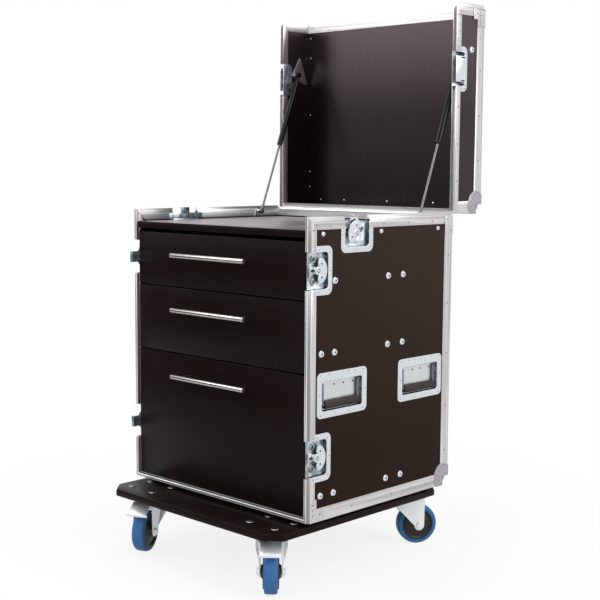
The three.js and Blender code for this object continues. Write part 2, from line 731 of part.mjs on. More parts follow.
// Strut feet: a bracket on the inner flange of the rim at each side, clear of the top board
const upright = new THREE.Matrix4().makeBasis(rear, up, right);
const wallPlate = (shape, side, outerX, innerX) => plate(shape,
  Math.min(side * innerX, side * outerX), Math.max(side * innerX, side * outerX), upright);
const footY = caseDepth - strutFootFromRear;
const footZ = topBoardTopZ + strutFootAboveBoard;
const footLowZ = topBoardTopZ + footBoardClear;
const bracketOuterX = innerFlangeX - seatGap;
const bracketInnerX = bracketOuterX - footPlateThickness;
const studEndX = strutX + strutEyeThickness / 2 + seatGap;
for (const [sideName, side] of sides) {
  const half = footPlateLength / 2;
  const cheek = new THREE.Shape();
  cheek.moveTo(footY - half, footLowZ);
  cheek.lineTo(footY + half, footLowZ);
  cheek.lineTo(footY + strutEyeRadius, footZ);
  cheek.absarc(footY, footZ, strutEyeRadius, 0, Math.PI);
  cheek.lineTo(footY - half, footLowZ);
  const wall = wallPlate(cheek, side, bracketOuterX, bracketInnerX);
  const stud = rod(strutStudRadius, vec(side * bracketInnerX, footY, footZ),
    vec(side * studEndX, footY, footZ));
  add(`strut_foot_${sideName}`, join(wall, stud), zincPlate);
}

// Lid, drawn closed and turned open about the hinge
const lidPivot = new THREE.Group();
lidPivot.position.set(0, hingeY, hingeZ);
lidPivot.rotation.x = -Math.PI / 2;
group.add(lidPivot);
const lid = new THREE.Group();
lid.position.set(0, -hingeY, -hingeZ);
lidPivot.add(lid);

const lidPlyZ = lidBottomZ + grooveDepth + profileWall;
const lidSkinZ = lidTopZ - profileWall;
const receptorFrame = (side) => dishFrame(rear, up, right.clone().multiplyScalar(side),
  vec(side * panelOuterX, topLatchFromFront, lidBottomZ));
const receptorHoles = sides.map(([, side]) => moved(openDishHole(latchPocketLength, receptorPocketReach),
  receptorFrame(side)));
const lidRoundings = lidBalls.map(roundedOff);
const lidOuter = block(-panelOuterX, panelOuterX, profileWall, caseDepth - profileWall, lidPlyZ, lidSkinZ);
const lidRoofZ = lidSkinZ - plyThickness;
const lidInner = block(-panelInnerX, panelInnerX, -overrun, rearInnerY, lidPlyZ - overrun, lidRoofZ);
add('lid_shell', cut(lidOuter, lidInner, ...receptorHoles, ...lidRoundings), phenolicPly, lid);

const lidGroove = run(grooveSection(lidFlange, lidFlange),
  [vec(-sideX, 0, lidBottomZ), vec(-sideX, caseDepth, lidBottomZ),
    vec(sideX, caseDepth, lidBottomZ), vec(sideX, 0, lidBottomZ)],
  [right, front, left], down);
const lidTongueStart = caseHeight + tongueHeight + lidSeam;
const lidTongue = run(tongueSection(lidFrontFlange, lidFlange),
  [vec(-sideX, 0, lidTongueStart), vec(-sideX, 0, lidTopZ),
    vec(sideX, 0, lidTopZ), vec(sideX, 0, lidTongueStart)],
  [right, down, left], front);

const lidAngle = run(angleSection,
  [vec(-sideX, lidFrontFlange + seatGap, lidTopZ), vec(-sideX, caseDepth, lidTopZ),
    vec(sideX, caseDepth, lidTopZ), vec(sideX, lidFrontFlange + seatGap, lidTopZ)],
  [right, front, left], down);
const lidRearAngles = sides.map(([, side]) => {
  const inward = right.clone().multiplyScalar(-side);
  return run(angleSection, [vec(side * sideX, caseDepth, lidTopZ),
    vec(side * sideX, caseDepth, lidBottomZ + lidFlange + seatGap)], [inward], front);
});
const lidFrontPlates = sides.map(([, side]) => cut(
  block(side * (sideX - cornerPlateHeight), side * (sideX + cornerPlateThickness), 0, cornerPlateHeight,
    lidTopZ - cornerPlateHeight, lidTopZ + cornerPlateThickness),
  block(side * (sideX - cornerPlateHeight - overrun), side * sideX, -overrun, cornerPlateHeight + overrun,
    lidTopZ - cornerPlateHeight - overrun, lidTopZ),
  block(side * (sideX - cornerPlateHeight - overrun), side * (sideX + overrun), cornerPlateArm,
    cornerPlateHeight + overrun, lidTopZ - cornerPlateHeight - overrun, lidTopZ - angleFlange),
));
const lidOctants = lidBalls.map((corner) => cornerBlock(corner, ballInset, overrun));
add('lid_edge_angles', join(cut(join(lidAngle, ...lidRearAngles), ...lidOctants),
  ...lidFrontPlates, ...lidBalls.map(ballCorner)), aluminium, lid);

const receptorDish = join(openDish(latchLength, receptorReach, latchPocketLength, receptorPocketReach),
  block(-receptorPlateLength / 2, receptorPlateLength / 2, 0,
    receptorPocketReach + dishSheet / 2, 0, dishSheet));
const receptors = sides.map(([, side]) => moved(receptorDish, receptorFrame(side)));
add('lid_profiles', join(cut(lidGroove, ...receptorHoles), lidTongue, ...receptors), aluminium, lid);

add('hinge_lid_leaf', cut(join(
  cut(leaf(hingeZ, hingeZ + hingeLeafWidth), ...bodyKnuckles.map(knuckleRoom)),
  ...lidKnuckles.map(knuckle),
), rod(hingePinRadius + hingePinGap, vec(-hingeLength, hingeY, hingeZ), vec(hingeLength, hingeY, hingeZ))),
stainless, lid);

// Strut heads: a triangular plate with a stud inside each lid wall
const headY = strutHeadFromFront;
const headZ = lidBottomZ + receptorPocketReach + dishSheet + strutHeadClear + strutEyeRadius;
const headPlateTopZ = lidRoofZ - headPlateRoof - strutEyeRadius;
for (const [sideName, side] of sides) {
  const triangle = new THREE.Shape();
  triangle.absarc(headY, headZ, strutEyeRadius, Math.PI * 5 / 4, Math.PI * 7 / 4);
  triangle.absarc(headY + headPlateAside, headPlateTopZ, strutEyeRadius, 0, Math.PI / 2);
  triangle.absarc(headY - headPlateForward, headZ + headPlateLift, strutEyeRadius, Math.PI / 2, Math.PI);
  const wallX = panelInnerX - seatGap;
  const body = wallPlate(triangle, side, wallX, wallX - headPlateThickness);
  const stud = rod(strutStudRadius, vec(side * (wallX - headPlateThickness / 2), headY, headZ),
    vec(side * studEndX, headY, headZ));
  add(`strut_head_${sideName}`, join(body, stud), zincPlate, lid);
}

// Gas struts: the rod turns on the foot, the tube slides on the rod. The tube's eye stands
// beside the head's stud, which is the pivot left open.
const openHead = vec(0, hingeY + headZ - hingeZ, hingeZ + hingeY - headY);
const strutLength = Math.hypot(openHead.y - footY, openHead.z - footZ);
const strutAngle = Math.atan2(openHead.z - footZ, openHead.y - footY);
for (const [sideName, side] of sides) {
  const strut = new THREE.Group();
  strut.position.set(side * strutX, footY, footZ);
  strut.rotation.x = strutAngle;
  group.add(strut);
  const eyeHalf = strutEyeThickness / 2;
  const eye = (at) => rod(strutEyeRadius, vec(-eyeHalf, at, 0), vec(eyeHalf, at, 0));
  const shaft = rod(strutRodRadius, vec(0, 0, 0), vec(0, strutRodLength, 0));
  const collar = rod(strutNeckRadius, vec(0, 0, 0), vec(0, strutNeckLength, 0));
  add(`strut_rod_${sideName}`, join(eye(0), shaft, collar), stainless, strut);
  const tubeEnd = strutLength - strutNeckLength;
  const tube = rod(strutTubeRadius, vec(0, tubeEnd - strutTubeLength, 0), vec(0, tubeEnd, 0), circleSides);
  const bore = rod(strutRodRadius + seatGap, vec(0, tubeEnd - strutTubeLength - overrun, 0),
    vec(0, tubeEnd - strutTubeRadius, 0));
  const neck = rod(strutNeckRadius, vec(0, tubeEnd - strutTubeRadius / 2, 0), vec(0, strutLength, 0));
  add(`strut_tube_${sideName}`, join(cut(tube, bore), neck, eye(strutLength)), blackPaint, strut);
}

// Drawers and their bar pulls
const frontHalf = dishBackX - drawerFrontSideGap;
const boxHalf = panelInnerX - runnerSpace;
for (const { name, low, high, railZ } of drawerPlaces()) {
  const faceY = -drawerFrontProud;
  const backY = drawerBackY;
  const [boxLow, boxHigh] = [low + drawerBoxRise, high - drawerBoxDrop];
  const panel = block(-frontHalf, frontHalf, faceY, backY, low, high);
  const box = cut(
    block(-boxHalf, boxHalf, backY - drawerFrontThickness / 2, backY + drawerBoxDepth, boxLow, boxHigh),
    block(-boxHalf + drawerWall, boxHalf - drawerWall, backY, backY + drawerBoxDepth - drawerWall,
      boxLow + drawerBottomThickness, boxHigh + overrun),
  );
  const barHalf = runnerHeight / 2 - runnerWall - runningGap;
  const bars = [1, -1].map((side) => block(side * (boxHalf - seatGap), side * (boxHalf + runnerBarThickness),
    runnerStart + seatGap, backY + drawerBoxDepth, railZ - barHalf, railZ + barHalf));
  add(`drawer_${name}`, join(panel, box, ...bars), drawerFilm);
  const barY = faceY - pullReach;
  const barZ = high - pullBelowTop;
  const posts = [1, -1].map((side) => rod(pullPostRadius,
    vec(side * pullPostSpacing / 2, barY, barZ), vec(side * pullPostSpacing / 2, faceY, barZ)));
  add(`pull_${name}`, join(rod(pullRadius, vec(-pullLength / 2, barY, barZ), vec(pullLength / 2, barY, barZ),
    circleSides), ...posts), stainless);
}

// Castor board with chamfered corners, its feet under the case and the castor top plates
const boardHalf = sideX - boardSideInset;
const [boardFront, boardRear] = [-boardFrontReach, caseDepth - boardRearInset];
const boardOutline = (inset) => polygon([
  [-boardHalf + boardChamfer, boardFront + inset], [boardHalf - boardChamfer, boardFront + inset],
  [boardHalf - inset, boardFront + boardChamfer], [boardHalf - inset, boardRear - boardChamfer],
  [boardHalf - boardChamfer, boardRear - inset], [-boardHalf + boardChamfer, boardRear - inset],
  [-boardHalf + inset, boardRear - boardChamfer], [-boardHalf + inset, boardFront + boardChamfer],
]);
const boardSlab = solid(new THREE.ExtrudeGeometry(boardOutline(boardEdgeRound), {
  depth: boardThickness - boardEdgeRound * 2, bevelEnabled: true, bevelThickness: boardEdgeRound,
  bevelSize: boardEdgeRound, bevelSegments: 2, curveSegments: 1,
}).translate(0, 0, boardBottomZ + boardEdgeRound));
const castorPlaces = [
  { name: 'front_right', side: 1, y: castorFrontY, heading: -46, pedal: true },
  { name: 'front_left', side: -1, y: castorFrontY, heading: -63, pedal: true },
  { name: 'rear_right', side: 1, y: castorRearY, heading: 57, pedal: false },
  { name: 'rear_left', side: -1, y: castorRearY, heading: 105, pedal: false },
];
const footX = sideX - footInset;
const boardFeet = sides.flatMap(([, side]) => [footInset, caseDepth - footRearInset].map((y) => rod(
  footRadius, vec(side * footX, y, boardTopZ - overrun), vec(side * footX, y, -seatGap), circleSides)));
const plateBottomZ = boardBottomZ - castorPlateThickness;
const headBottomZ = plateBottomZ - castorHeadHeight;
const castorPlates = castorPlaces.flatMap(({ side, y }) => [
  block(side * castorX - castorPlateLength / 2, side * castorX + castorPlateLength / 2,
    y - castorPlateWidth / 2, y + castorPlateWidth / 2, plateBottomZ, boardBottomZ + overrun),
  rod(castorHeadRadius, vec(side * castorX, y, boardBottomZ), vec(side * castorX, y, headBottomZ),
    circleSides),
]);
add('castor_board', join(boardSlab, ...boardFeet, ...castorPlates), blackBoard);

// Castors: each fork swivels under its head and trails its wheel
const wheelRadius = wheelDiameter / 2;
const axleZ = floorZ + wheelRadius;
const cupTopZ = headBottomZ - runningGap;
const cupBottomZ = cupTopZ - castorCupHeight;
const legInner = hubWidth / 2 + forkLegGap;
const legOuter = legInner + forkLegThickness;
const wheelProfile = [
  [wheelBoreRadius, -hubWidth / 2],
  [hubRadius, -hubWidth / 2],
  [rimRadius, -wheelWidth / 2 + rimDish],
  [rimRadius + rimDish, -wheelWidth / 2],
  [rimRadius + rimDish + treadStep, -treadWidth / 2],
  [wheelRadius - treadShoulder, -treadWidth / 2],
  [wheelRadius, -treadCrown / 2],
];
const wheelSection = [...wheelProfile, ...wheelProfile.map(([r, x]) => [r, -x]).reverse(), wheelProfile[0]];
const wheel = (() => {
  const spun = welded(new THREE.LatheGeometry(
    wheelSection.map(([r, x]) => new THREE.Vector2(r, x)), wheelSides,
  ));
  return solid(signedVolume(spun) < 0 ? flip(spun) : spun);
})();
for (const { name, side, y, heading, pedal } of castorPlaces) {
  const swivel = new THREE.Group();
  swivel.position.set(side * castorX, y, 0);
  swivel.rotation.z = THREE.MathUtils.degToRad(heading);
  group.add(swivel);
  const crown = rod(castorCupRadius, vec(0, 0, cupBottomZ), vec(0, 0, cupTopZ), circleSides);
  const bridge = block(-forkCrownLength / 2, forkCrownLength / 2, -legOuter, legOuter,
    cupBottomZ - forkLegThickness, cupBottomZ + castorCupHeight / 2);
  const cheek = new THREE.Shape();
  cheek.moveTo(-forkCrownLength / 2, cupTopZ);
  cheek.lineTo(-forkCrownLength / 2, cupBottomZ);
  cheek.lineTo(castorTrail - forkFootRadius, axleZ);
  cheek.absarc(castorTrail, axleZ, forkFootRadius, Math.PI, Math.PI * 2);
  cheek.lineTo(forkNose, cupBottomZ);
  cheek.lineTo(forkNose, cupTopZ);
  const cheekFrame = new THREE.Matrix4().makeBasis(right, up, front);
  const legs = [1, -1].map((end) => plate(cheek, Math.min(end * legInner, end * legOuter),
    Math.max(end * legInner, end * legOuter), cheekFrame));
  const edgeLow = vec(castorTrail - forkFootRadius, 0, axleZ);
  const edge = vec(-forkCrownLength / 2, 0, cupBottomZ).sub(edgeLow);
  const edgeLength = edge.length();
  const climb = edge.normalize();
  const flareFrame = new THREE.Matrix4().makeBasis(rear, climb, rear.clone().cross(climb))
    .setPosition(edgeLow);
  const [lowEnd, wideStart] = [edgeLength * flareLowShare, edgeLength * flareWideShare];
  const flares = [1, -1].map((end) => {
    const wide = end * (legOuter + forkFlare);
    return plate(polygon([[end * legInner, lowEnd], [end * legOuter, lowEnd], [wide, wideStart],
      [wide, edgeLength], [end * legInner, edgeLength]]), 0, forkLegThickness, flareFrame);
  });
  const axle = rod(axleRadius, vec(castorTrail, -legOuter, axleZ), vec(castorTrail, legOuter, axleZ));
  const heads = [1, -1].map((end) => rod(axleHeadRadius, vec(castorTrail, end * (legOuter - seatGap), axleZ),
    vec(castorTrail, end * (legOuter + axleHeadHeight), axleZ), nutSides));
  add(`castor_fork_${name}`, join(crown, bridge, ...legs, ...flares, axle, ...heads), zincPlate, swivel);
  const wheelMesh = add(`castor_wheel_${name}`, wheel, wheelBlue, swivel);
  wheelMesh.position.set(castorTrail, 0, axleZ);
  if (pedal) {
    const pedalX = forkNose - pedalPivotInset;
    const pedalZ = cupTopZ - pedalPivotDrop;
    const pivot = new THREE.Group();
    pivot.position.set(pedalX, 0, pedalZ);
    swivel.add(pivot);
    const half = legInner - runningGap;
    const tipZ = -pedalDrop;
    const section = polygon([[-pedalPivotRadius, 0], [pedalPivotRadius, 0], [pedalKnee, pedalRise],
      [pedalReach, tipZ], [pedalReach, tipZ + pedalThickness], [pedalKnee, pedalRise + pedalThickness],
      [pedalKnee - pedalPivotRadius, pedalRise + pedalThickness]]);
    const tongue = plate(section, -half, half, cheekFrame);
    const lip = block(pedalReach - pedalThickness, pedalReach, -pedalLipHalf, pedalLipHalf,
      tipZ - pedalLip, tipZ + pedalThickness);
    const barrel = rod(pedalPivotRadius, vec(0, -half, 0), vec(0, half, 0));
    add(`brake_pedal_${name}`, join(barrel, tongue, lip), zincPlate, pivot);
  }
}

// The part's origin: on the floor, under the middle of its box
group.updateMatrixWorld(true);
const extent = new THREE.Box3().setFromObject(group, true);
const root = new THREE.Group();
group.position.set(0, -(extent.min.y + extent.max.y) / 2, -floorZ);
root.add(group);

export default root;
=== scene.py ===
import json
import math

import bmesh
import bpy
from mathutils import Matrix, Vector

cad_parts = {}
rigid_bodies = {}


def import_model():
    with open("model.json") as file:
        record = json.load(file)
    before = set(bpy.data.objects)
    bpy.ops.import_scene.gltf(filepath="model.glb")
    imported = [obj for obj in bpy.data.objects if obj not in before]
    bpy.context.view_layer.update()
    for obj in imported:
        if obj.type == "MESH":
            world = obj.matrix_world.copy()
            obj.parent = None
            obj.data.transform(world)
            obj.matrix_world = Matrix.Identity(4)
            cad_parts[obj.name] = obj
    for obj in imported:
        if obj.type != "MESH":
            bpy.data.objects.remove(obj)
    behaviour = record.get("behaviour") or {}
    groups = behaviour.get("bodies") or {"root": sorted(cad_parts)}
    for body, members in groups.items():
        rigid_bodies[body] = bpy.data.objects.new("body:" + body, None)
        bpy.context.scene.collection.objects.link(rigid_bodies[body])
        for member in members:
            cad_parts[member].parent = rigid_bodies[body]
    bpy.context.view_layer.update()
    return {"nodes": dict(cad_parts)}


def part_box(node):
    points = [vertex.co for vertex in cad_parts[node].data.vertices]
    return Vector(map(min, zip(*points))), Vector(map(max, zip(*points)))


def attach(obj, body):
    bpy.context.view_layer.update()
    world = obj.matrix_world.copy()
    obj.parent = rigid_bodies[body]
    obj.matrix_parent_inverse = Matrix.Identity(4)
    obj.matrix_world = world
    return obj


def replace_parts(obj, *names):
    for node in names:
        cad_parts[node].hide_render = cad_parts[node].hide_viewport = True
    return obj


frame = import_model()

# The camera stands to the front right of the case, a little above its middle, with a long lens.
# Places are given in millimetres from the middle of the case's bottom front edge, as at() reads
# them, because that corner of the real case is what the lens was worked out from.
MM = 0.001
PROFILE_SHEET = 1.5
panel_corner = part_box("right_side_panel")[0]
CASE_FRONT = panel_corner.y - PROFILE_SHEET * MM
CASE_BOTTOM = panel_corner.z - PROFILE_SHEET * MM


def at(x, y, z):
    """A place in the room, from millimetres across, back and up."""
    return Vector((x * MM, CASE_FRONT + y * MM, CASE_BOTTOM + z * MM))


LENS_MM, SENSOR_MM, FARTHEST_SEEN = 72.14, 36, 50
CAMERA_PLACE = (2073.7, -1871.7, 783.4)
yaw, pitch, roll = (math.radians(turn) for turn in (43.982, -6.328, 0.385))
forward = Vector((-math.sin(yaw) * math.cos(pitch), math.cos(yaw) * math.cos(pitch), math.sin(pitch)))
level = Vector((math.cos(yaw), math.sin(yaw), 0))
upright = level.cross(forward)
across = math.cos(roll) * level + math.sin(roll) * upright
upwards = -math.sin(roll) * level + math.cos(roll) * upright
camera = bpy.data.objects.new("camera", bpy.data.cameras.new("camera"))
bpy.context.scene.collection.objects.link(camera)
camera.data.lens = LENS_MM
camera.data.sensor_width = SENSOR_MM
camera.data.clip_end = FARTHEST_SEEN
camera_turn = Matrix((across, upwards, -forward)).transposed().to_4x4()
camera.matrix_world = Matrix.Translation(at(*CAMERA_PLACE)) @ camera_turn
bpy.context.scene.camera = camera

# The studio: a pale paper floor and a white backdrop all round, lit by large soft boxes.
# The camera and shiny metal see plain white, and the lamps alone set how bright the case is.
# The floor keeps a faint shadow where the castors stand, and turns white away from the case.
def add_node(tree, kind, inputs=None, **settings):
    """A node with its settings, and with a link or a plain value in each socket that is named."""
    made = tree.nodes.new(kind)
    for setting, value in settings.items():
        setattr(made, setting, value)
    for socket, value in (inputs or {}).items():
        if isinstance(value, bpy.types.NodeSocket):
            tree.links.new(value, made.inputs[socket])
        else:
            made.inputs[socket].default_value = value
    return made


def srgb(hex_colour):
    """The linear colour of a hex colour as a screen shows it."""
    parts = [int(hex_colour[i:i + 2], 16) / 255 for i in (1, 3, 5)]
    return [p / 12.92 if p <= 0.04045 else ((p + 0.055) / 1.055) ** 2.4 for p in parts] + [1.0]


bpy.context.scene.view_settings.view_transform = "Standard"
WHITE, PAPER_WHITE = "#FFFFFF", "#EDEDED"
ROOM_LIGHT = 0.42
FLOOR_HALF = 12
world = bpy.data.worlds.new("studio")
bpy.context.scene.world = world
world.use_nodes = True
tree = world.node_tree
tree.nodes.clear()
path = add_node(tree, "ShaderNodeLightPath").outputs
seen = add_node(tree, "ShaderNodeMath", {0: path["Is Camera Ray"], 1: path["Is Glossy Ray"]},
                operation="MAXIMUM")
seen = add_node(tree, "ShaderNodeMath", {0: seen.outputs[0], 1: path["Is Transmission Ray"]},
                operation="MAXIMUM")
room = add_node(tree, "ShaderNodeBackground", {"Color": srgb(WHITE), "Strength": ROOM_LIGHT})
backdrop = add_node(tree, "ShaderNodeBackground", {"Color": srgb(WHITE), "Strength": 1.0})
shown = add_node(tree, "ShaderNodeMixShader",
                 {0: seen.outputs[0], 1: room.outputs[0], 2: backdrop.outputs[0]})
add_node(tree, "ShaderNodeOutputWorld", {"Surface": shown.outputs[0]})

paper = bpy.data.materials.new("matt_paper_floor")
paper.use_nodes = True
tree = paper.node_tree
tree.nodes.clear()
path = add_node(tree, "ShaderNodeLightPath").outputs
matt = add_node(tree, "ShaderNodeBsdfDiffuse", {"Color": srgb(PAPER_WHITE)})
lit = add_node(tree, "ShaderNodeEmission", {"Color": srgb(WHITE), "Strength": 1.0})
spot = add_node(tree, "ShaderNodeTexCoord").outputs["Object"]
away = add_node(tree, "ShaderNodeVectorMath", {0: spot}, operation="LENGTH").outputs["Value"]
SHADOW_NEAR, SHADOW_FAR, SHADOW_WHITE = 0.5, 1.5, 0.84
fading = add_node(tree, "ShaderNodeMapRange", {"Value": away, "From Min": SHADOW_NEAR, "From Max": SHADOW_FAR,
                                               "To Min": SHADOW_WHITE, "To Max": 1.0})
seen = add_node(tree, "ShaderNodeMath", {0: path["Is Camera Ray"], 1: path["Is Glossy Ray"]},
                operation="MAXIMUM")
faint = add_node(tree, "ShaderNodeMath", {0: seen.outputs[0], 1: fading.outputs[0]}, operation="MULTIPLY")
shown = add_node(tree, "ShaderNodeMixShader", {0: faint.outputs[0], 1: matt.outputs[0], 2: lit.outputs[0]})
add_node(tree, "ShaderNodeOutputMaterial", {"Surface": shown.outputs[0]})
bm = bmesh.new()
bmesh.ops.create_grid(bm, x_segments=1, y_segments=1, size=FLOOR_HALF)
floor = bpy.data.objects.new("floor", bpy.data.meshes.new("floor"))
bm.to_mesh(floor.data)
bm.free()
floor.data.materials.append(paper)
bpy.context.scene.collection.objects.link(floor)

# A dark grey card stands to the left front and reaches a little above the work surface. Only the
# shine of the case sees it: the drawers, the front profile and the lower part of the lid mirror it.
CARD = {"place": (-1.55, -1.4, 0.32), "size": (3.2, 1.2, 1), "turns": (90, 0, -45), "colour": "#242223"}
card_cloth = bpy.data.materials.new("grey_card")
card_cloth.use_nodes = True
card_cloth.node_tree.nodes["Principled BSDF"].inputs["Base Color"].default_value = srgb(CARD["colour"])
bm = bmesh.new()
bmesh.ops.create_grid(bm, x_segments=1, y_segments=1, size=0.5)
card = bpy.data.objects.new("grey_card", bpy.data.meshes.new("grey_card"))
bm.to_mesh(card.data)
bm.free()
card.data.materials.append(card_cloth)
card.location, card.scale = CARD["place"], CARD["size"]
card.rotation_euler = [math.radians(turn) for turn in CARD["turns"]]
card.visible_camera = card.visible_diffuse = card.visible_shadow = False
bpy.context.scene.collection.objects.link(card)

# Four soft boxes light the case from the right, the front, the left and above. Each is square and
# aims at the middle of the case, and the list holds its place, its side in metres and its watts.
LIT_MIDDLE = Vector((0, 0, 0.6))
SOFT_BOXES = [
    ("key_box", (2.6, 0.6, 2.3), 2.2, 62),
    ("front_box", (0.6, -3.4, 1.9), 2.6, 30),
    ("high_left_box", (-1.9, -1.7, 2.55), 1.5, 34),
    ("top_box", (-0.6, 0.3, 3.4), 2.4, 40),
]
for name, place, size, watts in SOFT_BOXES:
    lamp = bpy.data.lights.new(name, "AREA")
    lamp.shape, lamp.size, lamp.energy = "SQUARE", size, watts
    box = bpy.data.objects.new(name, lamp)
    box.location = place
    box.rotation_mode = "QUATERNION"
    box.rotation_quaternion = (LIT_MIDDLE - Vector(place)).to_track_quat("-Z", "Y")
    bpy.context.scene.collection.objects.link(box)

# The case's side, rear and floor panels and the lid are birch plywood faced with brown-black
# phenolic film. The hot press leaves a satin film that is nearly flat, so the panels mirror what
# stands beside them softly, with only a trace of the grain of the veneer under the film.
def finish(name, colour, roughness, metallic=0.0, specular=0.5):
    """A material to build on, with its tree, its shader and the places on the piece in metres."""
    material = bpy.data.materials.new(name)
    material.use_nodes = True
    tree = material.node_tree
    shader = tree.nodes["Principled BSDF"]
    shader.inputs["Base Color"].default_value = srgb(colour)
    shader.inputs["Roughness"].default_value = roughness
    shader.inputs["Metallic"].default_value = metallic
    shader.inputs["Specular IOR Level"].default_value = specular
    places = add_node(tree, "ShaderNodeTexCoord").outputs["Object"]
    return material, tree, shader, places


def per_metre(millimetres):
    """A pattern's scale, from the real size of one patch."""
    return 1000 / millimetres


def tint(tree, shader, amount, low, high):
    """Colour between two shades by a pattern. The sockets are the factor and the two colours."""
    mixed = add_node(tree, "ShaderNodeMix", {0: amount, 6: srgb(low), 7: srgb(high)}, data_type="RGBA")
    tree.links.new(mixed.outputs[2], shader.inputs["Base Color"])


def painted_sheen_by_height(tree, shader, places, heights, levels, blend):
    """Painted sheen: how strongly the film mirrors the room, ramped between two heights above the floor, in
    metres.
    """
    height = add_node(tree, "ShaderNodeSeparateXYZ", {0: places}).outputs["Z"]
    ranged = add_node(tree, "ShaderNodeMapRange", {
        "Value": height, "From Min": heights[0], "From Max": heights[1],
        "To Min": levels[0], "To Max": levels[1]}, interpolation_type=blend)
    tree.links.new(ranged.outputs[0], shader.inputs["Specular IOR Level"])


def gloss(tree, shader, amount, low, high):
    """Roughness between two levels by a pattern."""
    ranged = add_node(tree, "ShaderNodeMapRange", {"Value": amount, "To Min": low, "To Max": high})
    tree.links.new(ranged.outputs[0], shader.inputs["Roughness"])


def patchy_gloss(tree, shader, places, patch_mm, low, high):
    """Roughness that drifts between two levels over patches of one size, as handling leaves it."""
    patches = add_node(tree, "ShaderNodeTexNoise", {"Vector": places, "Scale": per_metre(patch_mm)})
    gloss(tree, shader, patches.outputs[0], low, high)


# The film isn't quite clear, so what it mirrors takes on a little of its brown. Its sheen is painted
# stronger toward the rim than toward the floor, ramped by height.
phenolic_film, tree, shader, places = finish("phenolic_film_on_birch_ply", "#1F1511", 0.3, specular=0.15)
grain = add_node(tree, "ShaderNodeTexNoise", {"Vector": places, "Scale": per_metre(1.6), "Detail": 3.0})
long_places = add_node(tree, "ShaderNodeMapping", {"Vector": places, "Scale": (1, 1, 0.06)}).outputs[0]
veneer = add_node(tree, "ShaderNodeTexNoise", {"Vector": long_places, "Scale": per_metre(9), "Detail": 4.0})
tint(tree, shader, veneer.outputs[0], "#20140F", "#261913")
shader.inputs["Specular Tint"].default_value = srgb("#FFE6DC")
gloss(tree, shader, grain.outputs[0], 0.26, 0.36)
PORE_DEPTH, PORE_STRENGTH = 0.03, 0.3
pores = add_node(tree, "ShaderNodeBump", {
    "Strength": PORE_STRENGTH, "Distance": PORE_DEPTH * MM, "Height": grain.outputs[0]})
tree.links.new(pores.outputs[0], shader.inputs["Normal"])
painted_sheen_by_height(tree, shader, places, (0.3, 0.78), (0.05, 0.145), "LINEAR")


def dress(nodes, material):
    """One material on CAD nodes whose shape is kept."""
    for node in nodes:
        slots = frame["nodes"][node].data.materials
        slots.clear()
        slots.append(material)


dress(["left_side_panel", "right_side_panel", "rear_panel", "floor_panel"], phenolic_film)

# The lid's film is glossier than the case's, and darker. Its sheen is painted by height: strongest
# toward the free edge of the open lid and fading toward the hinge.
glossy_film, tree, shader, places = finish("glossy_phenolic_film_of_the_lid", "#0F090A", 0.27, specular=0.62)
veneer = add_node(tree, "ShaderNodeTexNoise", {"Vector": places, "Scale": per_metre(9), "Detail": 4.0})
tint(tree, shader, veneer.outputs[0], "#0D0809", "#120B0D")
gloss(tree, shader, veneer.outputs[0], 0.24, 0.31)
shader.inputs["Specular Tint"].default_value = srgb("#FFE2EA")
painted_sheen_by_height(tree, shader, places, (1.05, 1.29), (0.32, 0.88), "SMOOTHSTEP")
dress(["lid_shell"], glossy_film)

# The edges are extruded aluminium, anodised clear: a tongue round the front and the top rim, a
# groove round the lid, and angles up the rear corners and along the bottom. Drawing through the
# die leaves fine lines, and the anodised skin is pale grey and scatters light softly.
LINE_STRETCH = 0.012


def extrusion(axis):
    """The aluminium of a length that runs along one axis, with its drawn lines."""
    name = f"anodised_aluminium_along_{'xyz'[axis]}"
    material, tree, shader, places = finish(name, "#D2D0D0", 0.36, metallic=0.9)
    stretch = [LINE_STRETCH if axis == k else 1 for k in range(3)]
    drawn = add_node(tree, "ShaderNodeMapping", {"Vector": places, "Scale": stretch}).outputs[0]
    lines = add_node(tree, "ShaderNodeTexNoise", {"Vector": drawn, "Scale": per_metre(3.2), "Detail": 3.0})
    clear = add_node(tree, "ShaderNodeMapRange",
                     {"Value": lines.outputs[0], "From Min": 0.35, "From Max": 0.6})
    tint(tree, shader, clear.outputs[0], "#B0AEAF", "#D3D1D1")
    gloss(tree, shader, lines.outputs[0], 0.26, 0.42)
    return material


LINED = [extrusion(axis) for axis in range(3)]
anodised = LINED[0]


def facing(point, direction):
    """A place on a surface, with its own Z out of that surface."""
    return Matrix.Translation(point) @ Vector(direction).to_track_quat("Z", "Y").to_matrix().to_4x4()


def make_piece(name, bm, body, *materials, smooth=30):
    """A finished mesh as a piece that rides on one body, smooth up to an angle between faces."""
    mesh = bpy.data.meshes.new(name)
    bmesh.ops.recalc_face_normals(bm, faces=bm.faces)
    bm.to_mesh(mesh)
    bm.free()
    for material in materials:
        mesh.materials.append(material)
    made = bpy.data.objects.new(name, mesh)
    bpy.context.scene.collection.objects.link(made)
    if smooth:
        mesh.shade_smooth()
        mesh.set_sharp_from_angle(angle=math.radians(smooth))
    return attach(made, body)


# Pop rivets hold every profile, plate and dish. Each is a low aluminium dome with the broken end
# of its steel pin in the middle, set by hand at roughly even steps along the flange.
pin_steel, tree, shader, places = finish("broken_pin_steel", "#5C5C5E", 0.45, metallic=0.8)
patchy_gloss(tree, shader, places, 1, 0.35, 0.6)
rivet_metal, tree, shader, places = finish("aluminium_rivet", "#A9A7A8", 0.42, metallic=0.9)
patchy_gloss(tree, shader, places, 2, 0.36, 0.5)
RIVET = {"radius": 3.0, "height": 0.9, "pin": 1.4, "pin_length": 0.3}


